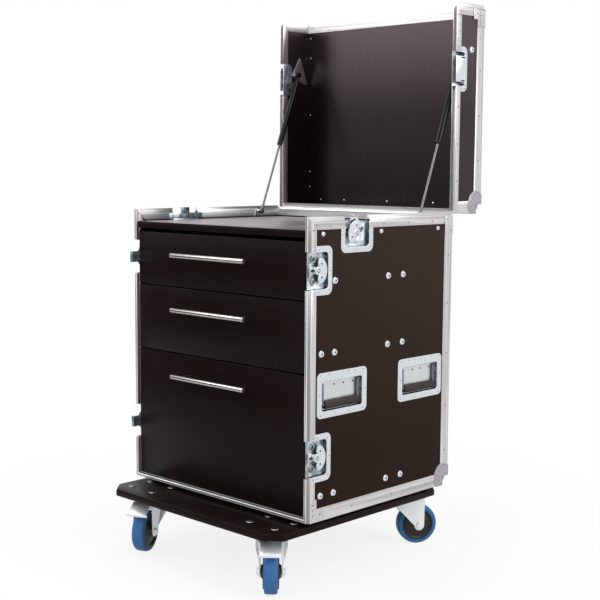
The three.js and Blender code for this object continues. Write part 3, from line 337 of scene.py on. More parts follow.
def rivet_row(name, spots, direction, body, material=rivet_metal, radius=RIVET["radius"],
              height=RIVET["height"]):
    """Rivets of one kind at places that all face one way, as one piece."""
    bm = bmesh.new()
    for spot in spots:
        place = facing(spot, direction)
        flat = Matrix.Diagonal((radius * MM, radius * MM, height * MM, 1))
        bmesh.ops.create_uvsphere(bm, u_segments=12, v_segments=6, radius=1, matrix=place @ flat)
        before = set(bm.faces)
        lift = Matrix.Translation((0, 0, height * MM))
        bmesh.ops.create_cone(bm, cap_ends=True, segments=8, radius1=RIVET["pin"] * MM,
                              radius2=RIVET["pin"] * MM, depth=RIVET["pin_length"] * MM, matrix=place @ lift)
        for face in set(bm.faces) - before:
            face.material_index = 1
    return make_piece(name, bm, body, material, pin_steel)


SIDES = (("right", 1), ("left", -1))
HALF_WIDTH, DEPTH, HEIGHT, LID_TOP = 300, 500, 668, 781
BACKWARDS = (0, 1, 0)
RIM_RIVETS = [(60, 656), (240, 656), (330, 656), (420, 656), (478, 656), (15, 659), (7, 647)]
REAR_ANGLE_RIVETS = [(486, height) for height in (88, 200, 330, 455, 570, 640)]
CORNER_PLATE_RIVETS, CORNER_PLATE = [(478, 660), (492, 632)], 1.2
BOTTOM_RIVETS = [(140, 15), (280, 15), (410, 15)]
REAR_RIM_RIVETS = [(-285, 653), (285, 653)]
REAR_BOTTOM_RIVETS = [(-200, 15), (-70, 15), (70, 15), (200, 15)]


def side_places(s, spots, proud=0.0):
    """Places on one side, from how far back and up each is and how far it stands out."""
    return [at(s * (HALF_WIDTH + proud), back, up) for back, up in spots]


for side, s in SIDES:
    out = (s, 0, 0)
    rear = side_places(s, REAR_ANGLE_RIVETS) + side_places(s, CORNER_PLATE_RIVETS, CORNER_PLATE)
    rivet_row(f"rim_rivets_{side}", side_places(s, RIM_RIVETS), out, "case")
    rivet_row(f"rear_angle_rivets_{side}", rear, out, "case")
    rivet_row(f"bottom_angle_rivets_{side}", side_places(s, BOTTOM_RIVETS), out, "case")
rivet_row("rear_rim_rivets", [at(x, DEPTH, up) for x, up in REAR_RIM_RIVETS], BACKWARDS, "case")
rivet_row("rear_bottom_rivets", [at(x, DEPTH, up) for x, up in REAR_BOTTOM_RIVETS], BACKWARDS, "case")

# Small stamped plates join the front profile at its two bottom corners. Each is a thin L of
# aluminium over the side flange, with four rivets.
FOOT_PLATE = {"thick": 0.8, "start": 0.5, "tall": 52, "long": 46, "upright": 22, "foot": 27}
FOOT_PLATE_RIVETS = [(10, 41), (10, 29), (11, 17), (33, 17)]


def box_between(bm, low, high):
    """A box from one corner to the opposite one."""
    spread = Matrix.Diagonal([*(abs(h - l) for h, l in zip(high, low)), 1])
    bmesh.ops.create_cube(bm, size=1, matrix=Matrix.Translation((low + high) / 2) @ spread)


for side, s in SIDES:
    bm = bmesh.new()
    face_x, start, foot = HALF_WIDTH + FOOT_PLATE["thick"], FOOT_PLATE["start"], FOOT_PLATE["foot"]
    box_between(bm, at(s * HALF_WIDTH, start, start), at(s * face_x, FOOT_PLATE["long"], foot))
    tip = at(s * face_x, FOOT_PLATE["upright"], FOOT_PLATE["tall"])
    box_between(bm, at(s * HALF_WIDTH, start, foot), tip)
    make_piece(f"foot_plate_{side}", bm, "case", anodised, smooth=0)
    spots = side_places(s, FOOT_PLATE_RIVETS, FOOT_PLATE["thick"])
    rivet_row(f"foot_plate_rivets_{side}", spots, (s, 0, 0), "case")

# The work surface is a board faced with a hard dark laminate, laid in below the rim. It is nearly
# smooth, so it mirrors the lid and the bright rim at a low angle, and its front edge has a duller
# film. The edges are eased, so that each shows a thin soft highlight.
laminate, tree, shader, places = finish("dark_pressed_laminate", "#171110", 0.36, specular=0.5)
haze = add_node(tree, "ShaderNodeTexNoise", {"Vector": places, "Scale": per_metre(45), "Detail": 4.0})
tint(tree, shader, haze.outputs[0], "#140F0E", "#1B1513")
gloss(tree, shader, haze.outputs[0], 0.32, 0.4)
shader.inputs["Sheen Weight"].default_value = 0.37
shader.inputs["Sheen Roughness"].default_value = 0.35
shader.inputs["Sheen Tint"].default_value = srgb("#F2E6EE")
smooth_film, tree, shader, places = finish("smooth_dark_film", "#150E0D", 0.36, specular=0.06)
haze = add_node(tree, "ShaderNodeTexNoise", {"Vector": places, "Scale": per_metre(60), "Detail": 4.0})
tint(tree, shader, haze.outputs[0], "#140C0B", "#1B1110")
gloss(tree, shader, haze.outputs[0], 0.3, 0.42)
WELD_METRES, FLAT_DEGREES, SHARP_DEGREES = 2e-6, 1, 40


def cad_copy(node):
    """The node's own shape as a joined mesh with its flat faces whole."""
    bm = bmesh.new()
    bm.from_mesh(frame["nodes"][node].data)
    bmesh.ops.remove_doubles(bm, verts=bm.verts, dist=WELD_METRES)
    bmesh.ops.dissolve_limit(bm, angle_limit=math.radians(FLAT_DEGREES), verts=bm.verts, edges=bm.edges)
    for face in bm.faces:
        face.material_index = 0
    return bm


def ease(bm, width_mm, segments=2):
    """The sharp edges of a mesh taken off by a narrow bevel."""
    sharp_angle = math.radians(SHARP_DEGREES)
    sharp = [e for e in bm.edges if len(e.link_faces) == 2 and e.calc_face_angle(0) > sharp_angle]
    bmesh.ops.bevel(bm, geom=sharp, offset=width_mm * MM, offset_type="OFFSET", segments=segments,
                    profile=0.5, affect="EDGES", clamp_overlap=True, material=-1)
    return bm


def redrawn(node, bm, *materials, smooth=30):
    """A finished mesh in place of the CAD node, on the body that carries the node."""
    body = frame["nodes"][node].parent.name.split(":")[1]
    made = make_piece(f"{node}_shown", bm, body, *materials, smooth=smooth)
    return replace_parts(made, node)


def eased(node, width_mm, *materials, segments=2, paint=None):
    """The CAD node with its edges eased, and each face in the material that paint() picks for it."""
    bm = ease(cad_copy(node), width_mm, segments)
    if paint:
        for face in bm.faces:
            face.material_index = paint(face)
    return redrawn(node, bm, *materials, smooth=35)


def board_side(face):
    """The laminate on the board, but the duller film on its front edge."""
    return int(face.normal.y < -0.3)


eased("top_board", 1.0, laminate, smooth_film, paint=board_side)

# The three drawers have the same duller film on their fronts and boxes. Their edges are eased and
# show as thin soft lines round each front.
DRAWERS = ("top", "middle", "bottom")
for name in DRAWERS:
    eased(f"drawer_{name}", 0.8, smooth_film)

# Ball corners: a zinc plated steel pressing over each rear corner, a round bulge with lobes that
# are riveted over the angles. It takes the knocks, and its worn plating is a soft warm grey.
pressed_steel, tree, shader, places = finish("zinc_plated_pressing", "#A5A3A7", 0.34, metallic=0.9)
skin = add_node(tree, "ShaderNodeTexNoise", {"Vector": places, "Scale": per_metre(6), "Detail": 3.0})
tint(tree, shader, skin.outputs[0], "#8E8C92", "#B9B6BA")
gloss(tree, shader, skin.outputs[0], 0.26, 0.42)
BALL_INSET, BALL_RADIUS, BALL_BAND, LOBE_REACH, PRESSED = 22, 24.5, 1.4, 37, 3
BALL_RIVETS = [(48, 9), (51, 18), (46, 28), (9, 48), (18, 51), (28, 46), (38, 38)]
BALL_RIVET = {"proud": 1.5, "radius": 2.2, "height": 0.6}


def longest_way(face):
    """The axis along which a face is longest, which is the way its profile was drawn."""
    spans = [max(v.co[k] for v in face.verts) - min(v.co[k] for v in face.verts) for k in range(3)]
    return spans.index(max(spans))


def ball_corner(bm, corner, outward):
    """The round bulge of one corner in place of its coarse outer faces."""
    centre = corner - Vector(outward) * BALL_INSET * MM

    def on_ball(place):
        """Whether a place lies on the ball, as near as its coarse faces do."""
        return abs((place - centre).length / MM - BALL_RADIUS) < BALL_BAND

    for face in bm.faces:
        middle = face.calc_center_median()
        offset = (middle - centre) / MM
        proud = max(o * way for o, way in zip(offset, outward)) > BALL_INSET + 0.1
        if offset.length < LOBE_REACH and (proud or on_ball(middle)):
            face.material_index = PRESSED
    coarse = [f for f in bm.faces if all(on_ball(v.co) for v in f.verts)
              and f.normal.dot((f.calc_center_median() - centre).normalized()) > 0.8]
    bmesh.ops.delete(bm, geom=coarse, context="FACES")
    before, old_faces = set(bm.verts), set(bm.faces)
    bmesh.ops.create_uvsphere(bm, u_segments=48, v_segments=24, radius=BALL_RADIUS * MM,
                              matrix=Matrix.Translation(centre))
    for face in set(bm.faces) - old_faces:
        face.material_index = PRESSED
    for way in ((outward[0], 0, 0), (0, outward[1], 0), (0, 0, outward[2])):
        made = [v for v in bm.verts if v not in before]
        edges = list({e for v in made for e in v.link_edges})
        faces = list({f for v in made for f in v.link_faces})
        bmesh.ops.bisect_plane(bm, geom=made + edges + faces, plane_co=centre, plane_no=way, clear_inner=True)


HINGE_Y, HINGE_Z = 502.7, 668.5


def on_lid(x, y, z):
    """A place given on the closed lid, where it lies with the lid open."""
    return at(x, HINGE_Y + (z - HINGE_Z), HINGE_Z + (HINGE_Y - y))


def case_corner(s):
    """The case's lower rear corner on one side."""
    return at(s * HALF_WIDTH, DEPTH, 0)


def lid_corner(s):
    """The corner of the lid's roof next to the hinge on one side, with the lid open."""
    return on_lid(s * HALF_WIDTH, DEPTH, LID_TOP)


for node, corner in (("edge_angles", case_corner), ("lid_edge_angles", lid_corner)):
    bm = ease(cad_copy(node), 0.35)
    for face in bm.faces:
        face.material_index = longest_way(face)
    for side, s in SIDES:
        ball_corner(bm, corner(s), (s, 1, -1))
    redrawn(node, bm, *LINED, pressed_steel, smooth=35)
for side, s in SIDES:
    for body, corner in (("case", case_corner), ("lid", lid_corner)):
        lobes = [corner(s) + Vector((s * BALL_RIVET["proud"], -y, z)) * MM for y, z in BALL_RIVETS]
        rivet_row(f"ball_corner_rivets_{body}_{side}", lobes, (s, 0, 0), body,
                  radius=BALL_RIVET["radius"], height=BALL_RIVET["height"])

# Each drawer has a bar pull: a brushed stainless tube on two round posts, with a darker cap in each
# end. The grit of the belt leaves rings round the tube that stretch its highlight along it.
stainless, tree, shader, places = finish("brushed_stainless_steel", "#ADA9A5", 0.24, metallic=1.0)
rings = add_node(tree, "ShaderNodeMapping", {"Vector": places, "Scale": (1, 0.02, 0.02)}).outputs[0]
belt = add_node(tree, "ShaderNodeTexNoise", {"Vector": rings, "Scale": per_metre(0.8), "Detail": 2.0})
gloss(tree, shader, belt.outputs[0], 0.18, 0.32)
PULL = {"half": 126, "post_half": 96, "bar": 6, "post": 4, "edge": 1.2}


def bar(bm, start, end, radius, edge=0.0, segments=40):
    """A round bar between two places, with the edges of its ends eased."""
    before = set(bm.faces)
    place = facing((start + end) / 2, end - start)
    bmesh.ops.create_cone(bm, cap_ends=True, segments=segments, radius1=radius * MM, radius2=radius * MM,
                          depth=(end - start).length, matrix=place)
    if edge:
        caps = [f for f in set(bm.faces) - before if len(f.verts) == segments]
        bmesh.ops.bevel(bm, geom=[e for f in caps for e in f.edges], offset=edge * MM, offset_type="OFFSET",
                        segments=3, profile=0.5, affect="EDGES", material=-1)


for name in DRAWERS:
    low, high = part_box(f"pull_{name}")
    bar_y, bar_z, face_y = low.y + PULL["bar"] * MM, (low.z + high.z) / 2, high.y
    middle, reach = Vector((0, bar_y, bar_z)), Vector((PULL["half"] * MM, 0, 0))
    bm = bmesh.new()
    bar(bm, middle - reach, middle + reach, PULL["bar"], PULL["edge"])
    for end in (-1, 1):
        foot = Vector((end * PULL["post_half"] * MM, face_y, bar_z))
        bar(bm, Vector((foot.x, bar_y, bar_z)), foot, PULL["post"])
    for face in bm.faces:
        face.material_index = int(abs(face.normal.x) > 0.95)
    redrawn(f"pull_{name}", bm, stainless, pin_steel)

# The front, rim and lid profiles carry the pressed dishes of the butterfly latches, riveted into
# their notches. A dish is zinc plated steel: its flange is bright and faintly blue, its floor is in a
# painted cloudy half shade, and its walls are painted dark as the shade of the pocket.
zinc, tree, shader, places = finish("zinc_plated_steel", "#D3D9DC", 0.26, metallic=1.0)
spangle = add_node(tree, "ShaderNodeTexNoise", {"Vector": places, "Scale": per_metre(4), "Detail": 2.0})
tint(tree, shader, spangle.outputs[0], "#C6CED3", "#E2E5E6")
gloss(tree, shader, spangle.outputs[0], 0.2, 0.32)
# Painted shade: a dark copy of the zinc with mottles of painted dark reflection, for pocket walls.
shaded_zinc, tree, shader, places = finish("zinc_plating_in_a_pocket", "#3D4B55", 0.3, metallic=1.0)
painted_dark_reflection = add_node(tree, "ShaderNodeTexNoise", {"Vector": places, "Scale": per_metre(9), "Detail": 3.0})
sharper = add_node(tree, "ShaderNodeMapRange",
                   {"Value": painted_dark_reflection.outputs[0], "From Min": 0.35, "From Max": 0.65})
tint(tree, shader, sharper.outputs[0], "#35434C", "#7C8A92")
gloss(tree, shader, painted_dark_reflection.outputs[0], 0.2, 0.4)
# Painted half shade: a darker, cloudy copy of the zinc for dish floors, springs, rim strips and hidden sides.
half_shaded_zinc, tree, shader, places = finish("zinc_plated_pressing_in_a_pocket", "#A3AFB5", 0.3, metallic=0.85)
mottled_painted_reflection = add_node(tree, "ShaderNodeTexNoise", {"Vector": places, "Scale": per_metre(14), "Detail": 2.0})
clear = add_node(tree, "ShaderNodeMapRange",
                 {"Value": mottled_painted_reflection.outputs[0], "From Min": 0.4, "From Max": 0.6})
tint(tree, shader, clear.outputs[0], "#87949A", "#CBD1D4")
gloss(tree, shader, mottled_painted_reflection.outputs[0], 0.22, 0.38)

# The tongue of the front profile is drawn aluminium too. Its face is pale, with one dark line of
# painted shade 6 mm in from the outer edge where a groove runs, and flanks painted a shaded grey.
drawn_tongue, tree, shader, places = finish("drawn_tongue_profile", "#B4B2B2", 0.34, metallic=0.5)
TONGUE_MIDDLE, GROOVE_SHADE_HALF, GROOVE_SHADE_BLUR = 6.0, 0.6, 0.5
apart = add_node(tree, "ShaderNodeSeparateXYZ", {0: places}).outputs
sideways = add_node(tree, "ShaderNodeMath", {0: apart["X"]}, operation="ABSOLUTE")
from_side = add_node(tree, "ShaderNodeMath", {0: HALF_WIDTH * MM, 1: sideways.outputs[0]},
                     operation="SUBTRACT")
from_bottom = add_node(tree, "ShaderNodeMath", {0: apart["Z"], 1: CASE_BOTTOM}, operation="SUBTRACT")
from_edge = add_node(tree, "ShaderNodeMath", {0: from_side.outputs[0], 1: from_bottom.outputs[0]},
                     operation="MINIMUM")
past_middle = add_node(tree, "ShaderNodeMath", {0: from_edge.outputs[0], 1: TONGUE_MIDDLE * MM},
                       operation="SUBTRACT")
off_line = add_node(tree, "ShaderNodeMath", {0: past_middle.outputs[0]}, operation="ABSOLUTE")
# Painted shade: a dark line along the groove, 6 mm in from the outer edge of the side or the bottom.
line = add_node(tree, "ShaderNodeMapRange", {
    "Value": off_line.outputs[0], "From Min": GROOVE_SHADE_HALF * MM, "From Max": (GROOVE_SHADE_HALF + GROOVE_SHADE_BLUR) * MM})
tint(tree, shader, line.outputs[0], "#6E6B68", "#E2E0E0")
patchy_gloss(tree, shader, places, 2, 0.3, 0.4)
# Painted shade: the tongue's flanks take a duller grey copy of the aluminium.
shaded_tongue_flank, tree, shader, places = finish("flank_of_the_tongue", "#8E8C8C", 0.38, metallic=0.9)
patchy_gloss(tree, shader, places, 2, 0.34, 0.42)

# The front profile, the top rim and the lid's profiles keep the shape of the CAD, with eased edges.
# Each face takes the finish of its part: the drawn length, the tongue or a side of a pressed dish.
DISH_HALF, DISH_REACH, RECEPTOR_REACH, POCKET_DEPTH = 54.5, 68.5, 44.5, 3
PANEL_OUTER, PROFILE_INNER, RIM_DROP, RIM_FLANGE_LOW, MOUTH_FLANGE_TOP = 298.5, 13.2, 6, 654, 680
LATCHES = {"front_low": 144, "front_high": 559}
TOP_LATCH = 150
FACES_OUT = 0.7
ZINC, SHADED, STRIPED, POCKET, FLANK = 3, 4, 5, 6, 7


def dish_part(from_middle, outward):
    """The finish of a dish's face: its flange is bright, its floor in painted half shade, its walls in
    painted shade.
    """
    if abs(outward) < FACES_OUT and from_middle < PANEL_OUTER + 1:
        return SHADED
    return POCKET if from_middle < PANEL_OUTER - POCKET_DEPTH else ZINC


def in_case(face):
    """Where the middle of a face lies in the case, in millimetres."""
    return [c / MM for c in (face.calc_center_median() - at(0, 0, 0))]


def front_part(face):
    """The finish of a face of the front profile."""
    x, y, z = in_case(face)
    in_dish = any(abs(z - height) < DISH_HALF for height in LATCHES.values())
    if in_dish and PROFILE_INNER < y < DISH_REACH and abs(x) < HALF_WIDTH - 0.1:
        return dish_part(abs(x), face.normal.x)
    if y < 0.5:
        return STRIPED if face.normal.y < -0.5 else FLANK
    return longest_way(face)


def rim_part(face):
    """The finish of a face of the top rim."""
    x, y, z = in_case(face)
    in_dish = abs(y - TOP_LATCH) < DISH_HALF and HEIGHT - RIM_DROP - DISH_REACH < z < RIM_FLANGE_LOW
    if in_dish and abs(x) < HALF_WIDTH - 0.1:
        return dish_part(abs(x), face.normal.x)
    return longest_way(face)


def lid_part(face):
    """The finish of a face of the lid's profiles, with its place turned back to the closed lid."""
    x, back, up = in_case(face)
    y, z = HINGE_Y - (up - HINGE_Z), HINGE_Z + (back - HINGE_Y)
    in_receptor = abs(y - TOP_LATCH) < DISH_HALF and MOUTH_FLANGE_TOP < z < HEIGHT + 1 + RECEPTOR_REACH
    if in_receptor and abs(x) < HALF_WIDTH - 0.1:
        return dish_part(abs(x), face.normal.x)
    return longest_way(face)


PROFILE_FINISHES = [*LINED, zinc, shaded_zinc, drawn_tongue, half_shaded_zinc]
eased("front_profile", 0.4, *PROFILE_FINISHES, shaded_tongue_flank, paint=front_part)
eased("top_rim", 0.4, *PROFILE_FINISHES, paint=rim_part)
eased("lid_profiles", 0.4, *PROFILE_FINISHES, paint=lid_part)

# A short zinc plated strip stands behind each top latch, inside the rim. It closes the notch and,
# in the zinc of painted half shade, shows as a pale cloudy bar behind the hook.
RIM_STRIP = {"x": 287.2, "thick": 1.4, "half": 55, "low": 650.5, "high": 664}
for side, s in SIDES:
    bm = bmesh.new()
    low = at(s * RIM_STRIP["x"], TOP_LATCH - RIM_STRIP["half"], RIM_STRIP["low"])
    inner_x = RIM_STRIP["x"] - RIM_STRIP["thick"]
    box_between(bm, low, at(s * inner_x, TOP_LATCH + RIM_STRIP["half"], RIM_STRIP["high"]))
    make_piece(f"rim_strip_{side}", ease(bm, 0.3), "case", half_shaded_zinc)

# Each butterfly latch has a flat curved key on a round hub, two coil springs behind the hub, and a
# broad hook under it, all zinc plated steel, with holes painted dark as shade. The left front keys
# stand half a turn round from the right ones, and the top keys a third of a turn.
# Painted shade: a near black finish for holes, slots, sockets and the shadow behind a lip.
painted_hole_shade, tree, shader, places = finish("shadowed_socket", "#1C1C1E", 0.6, metallic=0.6)
patchy_gloss(tree, shader, places, 1, 0.5, 0.7)
HUB_OFFSET = 25.5
KEY = {"inner": 8.5, "outer": 27.5, "sweep": 126, "thick": 1.6, "proud": 0.05, "edge": 0.3,
       "stretch": 1.1, "hole": 2.2, "hole_turn": 55, "hole_proud": 0.12}
HUB = {"radius": 9.5, "proud": 0.7, "deep": 7.3, "edge": 0.8,
       "ring": 4.6, "ring_proud": 0.8, "button": 3.2, "button_proud": 1.0, "button_edge": 0.3}
SPRING = {"side": 25, "in": 17, "ring": 6.2, "wire": 1.3, "depth": 8.4,
          "stud": 3.8, "stud_length": 2, "stud_edge": 0.5}
HOOK = {"half": 12, "lip": 3.4, "groove": 1.5, "face": 7.7, "travel": 24,
        "hole": (0, 13), "hole_radius": 2.6, "hole_stretch": 1.8, "mark": 0.3}
FRONT_TURN, TOP_TURN = {"right": 0, "left": 1}, 2 / 3
DISH_SUNK = 0.3
FRONT_DISH_RIVETS = [(24, 46.5), (24, -46.5), (56, 42), (61, 0), (56, -42)]
FRONT_EDGE_RIVETS = [(9, -46.5), (9, 46.5)]
TOP_DISH_RIVETS = [(47, 27), (-47, 27), (42, 56), (0, 61), (-42, 56)]
LATCH_RIVET = 2.4


def on_panel(place, along, inward, outward):
    """A frame on a panel: X along the edge, Y in from the edge and Z out of the panel."""
    return Matrix.Translation(place) @ Matrix((along, inward, outward)).transposed().to_4x4()


def round_hub(turn, distance):
    """A place at a distance from the hub, turned by so many degrees from straight inward."""
    aim = math.radians(90 + turn)
    return Vector((math.cos(aim), math.sin(aim), 0)) * distance * MM


def latch_key(name, mount, turn_share):
    """The key as a flat crescent with round ends, its hub, and two holes and a ring round the button painted
    dark as shade.
    """
    bm = bmesh.new()
    half, middle = KEY["sweep"] / 2, (KEY["inner"] + KEY["outer"]) / 2
    ends = [bm.verts.new(round_hub(-half, KEY[size])) for size in ("inner", "outer")]
    edge = bm.edges.new(ends)
    bmesh.ops.spin(bm, geom=[*ends, edge], cent=(0, 0, 0), axis=(0, 0, 1), steps=28,
                   angle=math.radians(KEY["sweep"]))
    bmesh.ops.solidify(bm, geom=list(bm.faces), thickness=KEY["thick"] * MM)
    for way in (-1, 1):
        end = round_hub(way * half, middle)
        bar(bm, end - Vector((0, 0, KEY["thick"] * MM)), end + Vector((0, 0, KEY["proud"] * MM)),
            (KEY["outer"] - KEY["inner"]) / 2, KEY["edge"])
    bmesh.ops.scale(bm, vec=(KEY["stretch"], 1, 1), verts=bm.verts)
    centre = Vector((0, 0, 0))
    bar(bm, Vector((0, 0, -HUB["deep"] * MM)), Vector((0, 0, HUB["proud"] * MM)), HUB["radius"], HUB["edge"])
    before = set(bm.faces)
    for way in (-1, 1):
        hole = round_hub(way * KEY["hole_turn"], middle)
        bar(bm, hole, hole + Vector((0, 0, KEY["hole_proud"] * MM)), KEY["hole"])
    bar(bm, centre, Vector((0, 0, HUB["ring_proud"] * MM)), HUB["ring"])
    for face in set(bm.faces) - before:
        face.material_index = 1
    bar(bm, centre, Vector((0, 0, HUB["button_proud"] * MM)), HUB["button"], HUB["button_edge"])
    turned = Matrix.Rotation(math.pi * turn_share, 4, "Z")
    place = mount @ Matrix.Translation((0, HUB_OFFSET * MM, 0)) @ turned
    bmesh.ops.transform(bm, matrix=place, verts=bm.verts)
    redrawn(f"latch_key_{name}", bm, zinc, painted_hole_shade)


def latch_springs(name, mount):
    """The two coils behind the hub that snap the key over, in half shade, each on a stud painted in shade."""
    bm = bmesh.new()
    for end in (-1, 1):
        middle = Vector((end * SPRING["side"], SPRING["in"], -SPRING["depth"])) * MM
        before = set(bm.faces)
        bar(bm, middle - Vector((0, 0, SPRING["stud_length"] * MM)), middle, SPRING["stud"],
            SPRING["stud_edge"], segments=24)
        for face in set(bm.faces) - before:
            face.material_index = 1
        coil_edge = Matrix.Translation(middle + Vector((SPRING["ring"] * MM, 0, 0)))
        wire = bmesh.ops.create_circle(bm, segments=10, radius=SPRING["wire"] * MM,
                                       matrix=coil_edge @ Matrix.Rotation(math.pi / 2, 4, "X"))["verts"]
        loop = list({e for v in wire for e in v.link_edges})
        bmesh.ops.spin(bm, geom=wire + loop, cent=middle, axis=(0, 0, 1), angle=math.tau, steps=32,
                       use_merge=True)
    bmesh.ops.transform(bm, matrix=mount, verts=bm.verts)
    make_piece(name, bm, "case", half_shaded_zinc, shaded_zinc)


def latch_hook(name, mount, turn_share, back):
    """The hook's strap, with painted shade on its turned-away sides, a painted shadow behind the lip and a
    dark hole.
    """
    node = f"latch_hook_{name}"
    bm = ease(cad_copy(node), 0.5)
    edge_way, inside_way = -mount.col[1].to_3d(), -mount.col[2].to_3d()
    for face in bm.faces:
        # Faces turned to the panel's edge or into the pocket are painted in shade with the finish given as
        # back.
        painted_shade_side = face.normal.dot(edge_way) > FACES_OUT or face.normal.dot(inside_way) > FACES_OUT
        face.material_index = 2 if painted_shade_side else 0
    moved = mount @ Matrix.Translation(Vector((0, -HOOK["travel"] * turn_share, -HOOK["face"])) * MM)
    # A thin painted shadow behind the lip, and the punched hole painted dark as shade.
    before = set(bm.faces)
    groove = Matrix.Diagonal((HOOK["half"] * 2 * MM, HOOK["groove"] * MM, HOOK["mark"] * MM, 1))
    bmesh.ops.create_cube(bm, size=1, matrix=moved @ Matrix.Translation((0, HOOK["lip"] * MM, 0)) @ groove)
    hole = Matrix.Translation(Vector((*HOOK["hole"], 0)) * MM)
    hole = hole @ Matrix.Diagonal((1, HOOK["hole_stretch"], 1, 1))
    bmesh.ops.create_cone(bm, cap_ends=True, segments=24, radius1=HOOK["hole_radius"] * MM,
                          radius2=HOOK["hole_radius"] * MM, depth=HOOK["mark"] * MM, matrix=moved @ hole)
    for face in set(bm.faces) - before:
        face.material_index = 1
    redrawn(node, bm, zinc, painted_hole_shade, back, smooth=35)


for side, s in SIDES:
    out = (s, 0, 0)
    spots = []
    for name, z in LATCHES.items():
        mount = on_panel(at(s * PANEL_OUTER, 0, z), (0, 0, 1), (0, 1, 0), out)
        latch_key(f"{name}_{side}", mount, FRONT_TURN[side])
        latch_springs(f"latch_springs_{name}_{side}", mount)
        latch_hook(f"{name}_{side}", mount, FRONT_TURN[side], half_shaded_zinc)
        spots += side_places(s, [(y, z + along) for y, along in FRONT_DISH_RIVETS], -DISH_SUNK)
        spots += side_places(s, [(y, z + along) for y, along in FRONT_EDGE_RIVETS])
    rim_z = HEIGHT - RIM_DROP
    mount = on_panel(at(s * PANEL_OUTER, TOP_LATCH, rim_z), (0, 1, 0), (0, 0, -1), out)
    latch_key(f"top_{side}", mount, TOP_TURN)
    latch_springs(f"latch_springs_top_{side}", mount)
    latch_hook(f"top_{side}", mount, TOP_TURN, shaded_zinc)
    top_dish = [(TOP_LATCH + along, rim_z - down) for along, down in TOP_DISH_RIVETS]
    spots += side_places(s, top_dish, -DISH_SUNK)
    rivet_row(f"latch_rivets_{side}", spots, out, "case", zinc, radius=LATCH_RIVET)

# Recessed handles: a pressed dish with a spring bail. The steel arms are plated and bend in at the
# bottom into a moulded rubber grip. The pocket's lower lip is painted near black as the shadow under the
# grip.
rubber, tree, shader, places = finish("moulded_black_rubber", "#211918", 0.5, specular=0.35)
skin = add_node(tree, "ShaderNodeTexNoise", {"Vector": places, "Scale": per_metre(1.2), "Detail": 3.0})
gloss(tree, shader, skin.outputs[0], 0.4, 0.6)
SKIN_DEPTH, SKIN_STRENGTH = 0.08, 0.5
pebbles = add_node(tree, "ShaderNodeBump", {
    "Strength": SKIN_STRENGTH, "Distance": SKIN_DEPTH * MM, "Height": skin.outputs[0]})
tree.links.new(pebbles.outputs[0], shader.inputs["Normal"])
bail_steel, tree, shader, places = finish("plated_bail_rod", "#6E757A", 0.2, metallic=1.0)
patchy_gloss(tree, shader, places, 3, 0.14, 0.26)
deep_shadow, tree, shader, places = finish("shadow_under_the_grip", "#060505", 0.8, specular=0.05)
patchy_gloss(tree, shader, places, 2, 0.7, 0.9)
pressed_floor, tree, shader, places = finish("zinc_plated_pocket_floor", "#B9BEC0", 0.34, metallic=0.85)
sheen = add_node(tree, "ShaderNodeTexNoise", {"Vector": places, "Scale": per_metre(30), "Detail": 2.0})
tint(tree, shader, sheen.outputs[0], "#C3C7C8", "#D3D6D7")
gloss(tree, shader, sheen.outputs[0], 0.3, 0.4)
HANDLES = {"front": 105, "rear": 384}
PIVOT_Z, GRIP_Z, PIVOT_X, GRIP_X = 305, 259, 292.4, 293.4
ARM = {"half": 58.5, "radius": 3.6, "elbow": 7, "stub": 5.5, "edge": 0.5}
GRIP = {"half": 56, "deep": 4.7, "high": 9.4, "edge": 2.5, "aside": 3}
HANDLE_RIVETS = {284: (-76, 75), 328: (-72, -44, -23, 0, 19, 42, 71), 238: (-72, -22, 21, 71)}
FLOOR_HOLES = {"x": 288, "z": 301, "along": (-15, 16, 47), "radius": 2.2, "proud": 0.2}
FLOOR, WALL, LOWER_LIP, REAR_WALL = 1, 2, 3, 4


def handle_part(face):
    """A dish face's finish: flange, floor, walls in painted shade, lower lip painted as shadow, rear wall in
    half shade.
    """
    from_middle = abs(face.calc_center_median().x) / MM
    if abs(face.normal.x) > FACES_OUT:
        return FLOOR if from_middle < PANEL_OUTER - POCKET_DEPTH else 0
    if from_middle > PANEL_OUTER - 0.6:
        return 0
    if face.normal.z > 0.6:
        return LOWER_LIP
    return REAR_WALL if face.normal.y < -0.6 else WALL


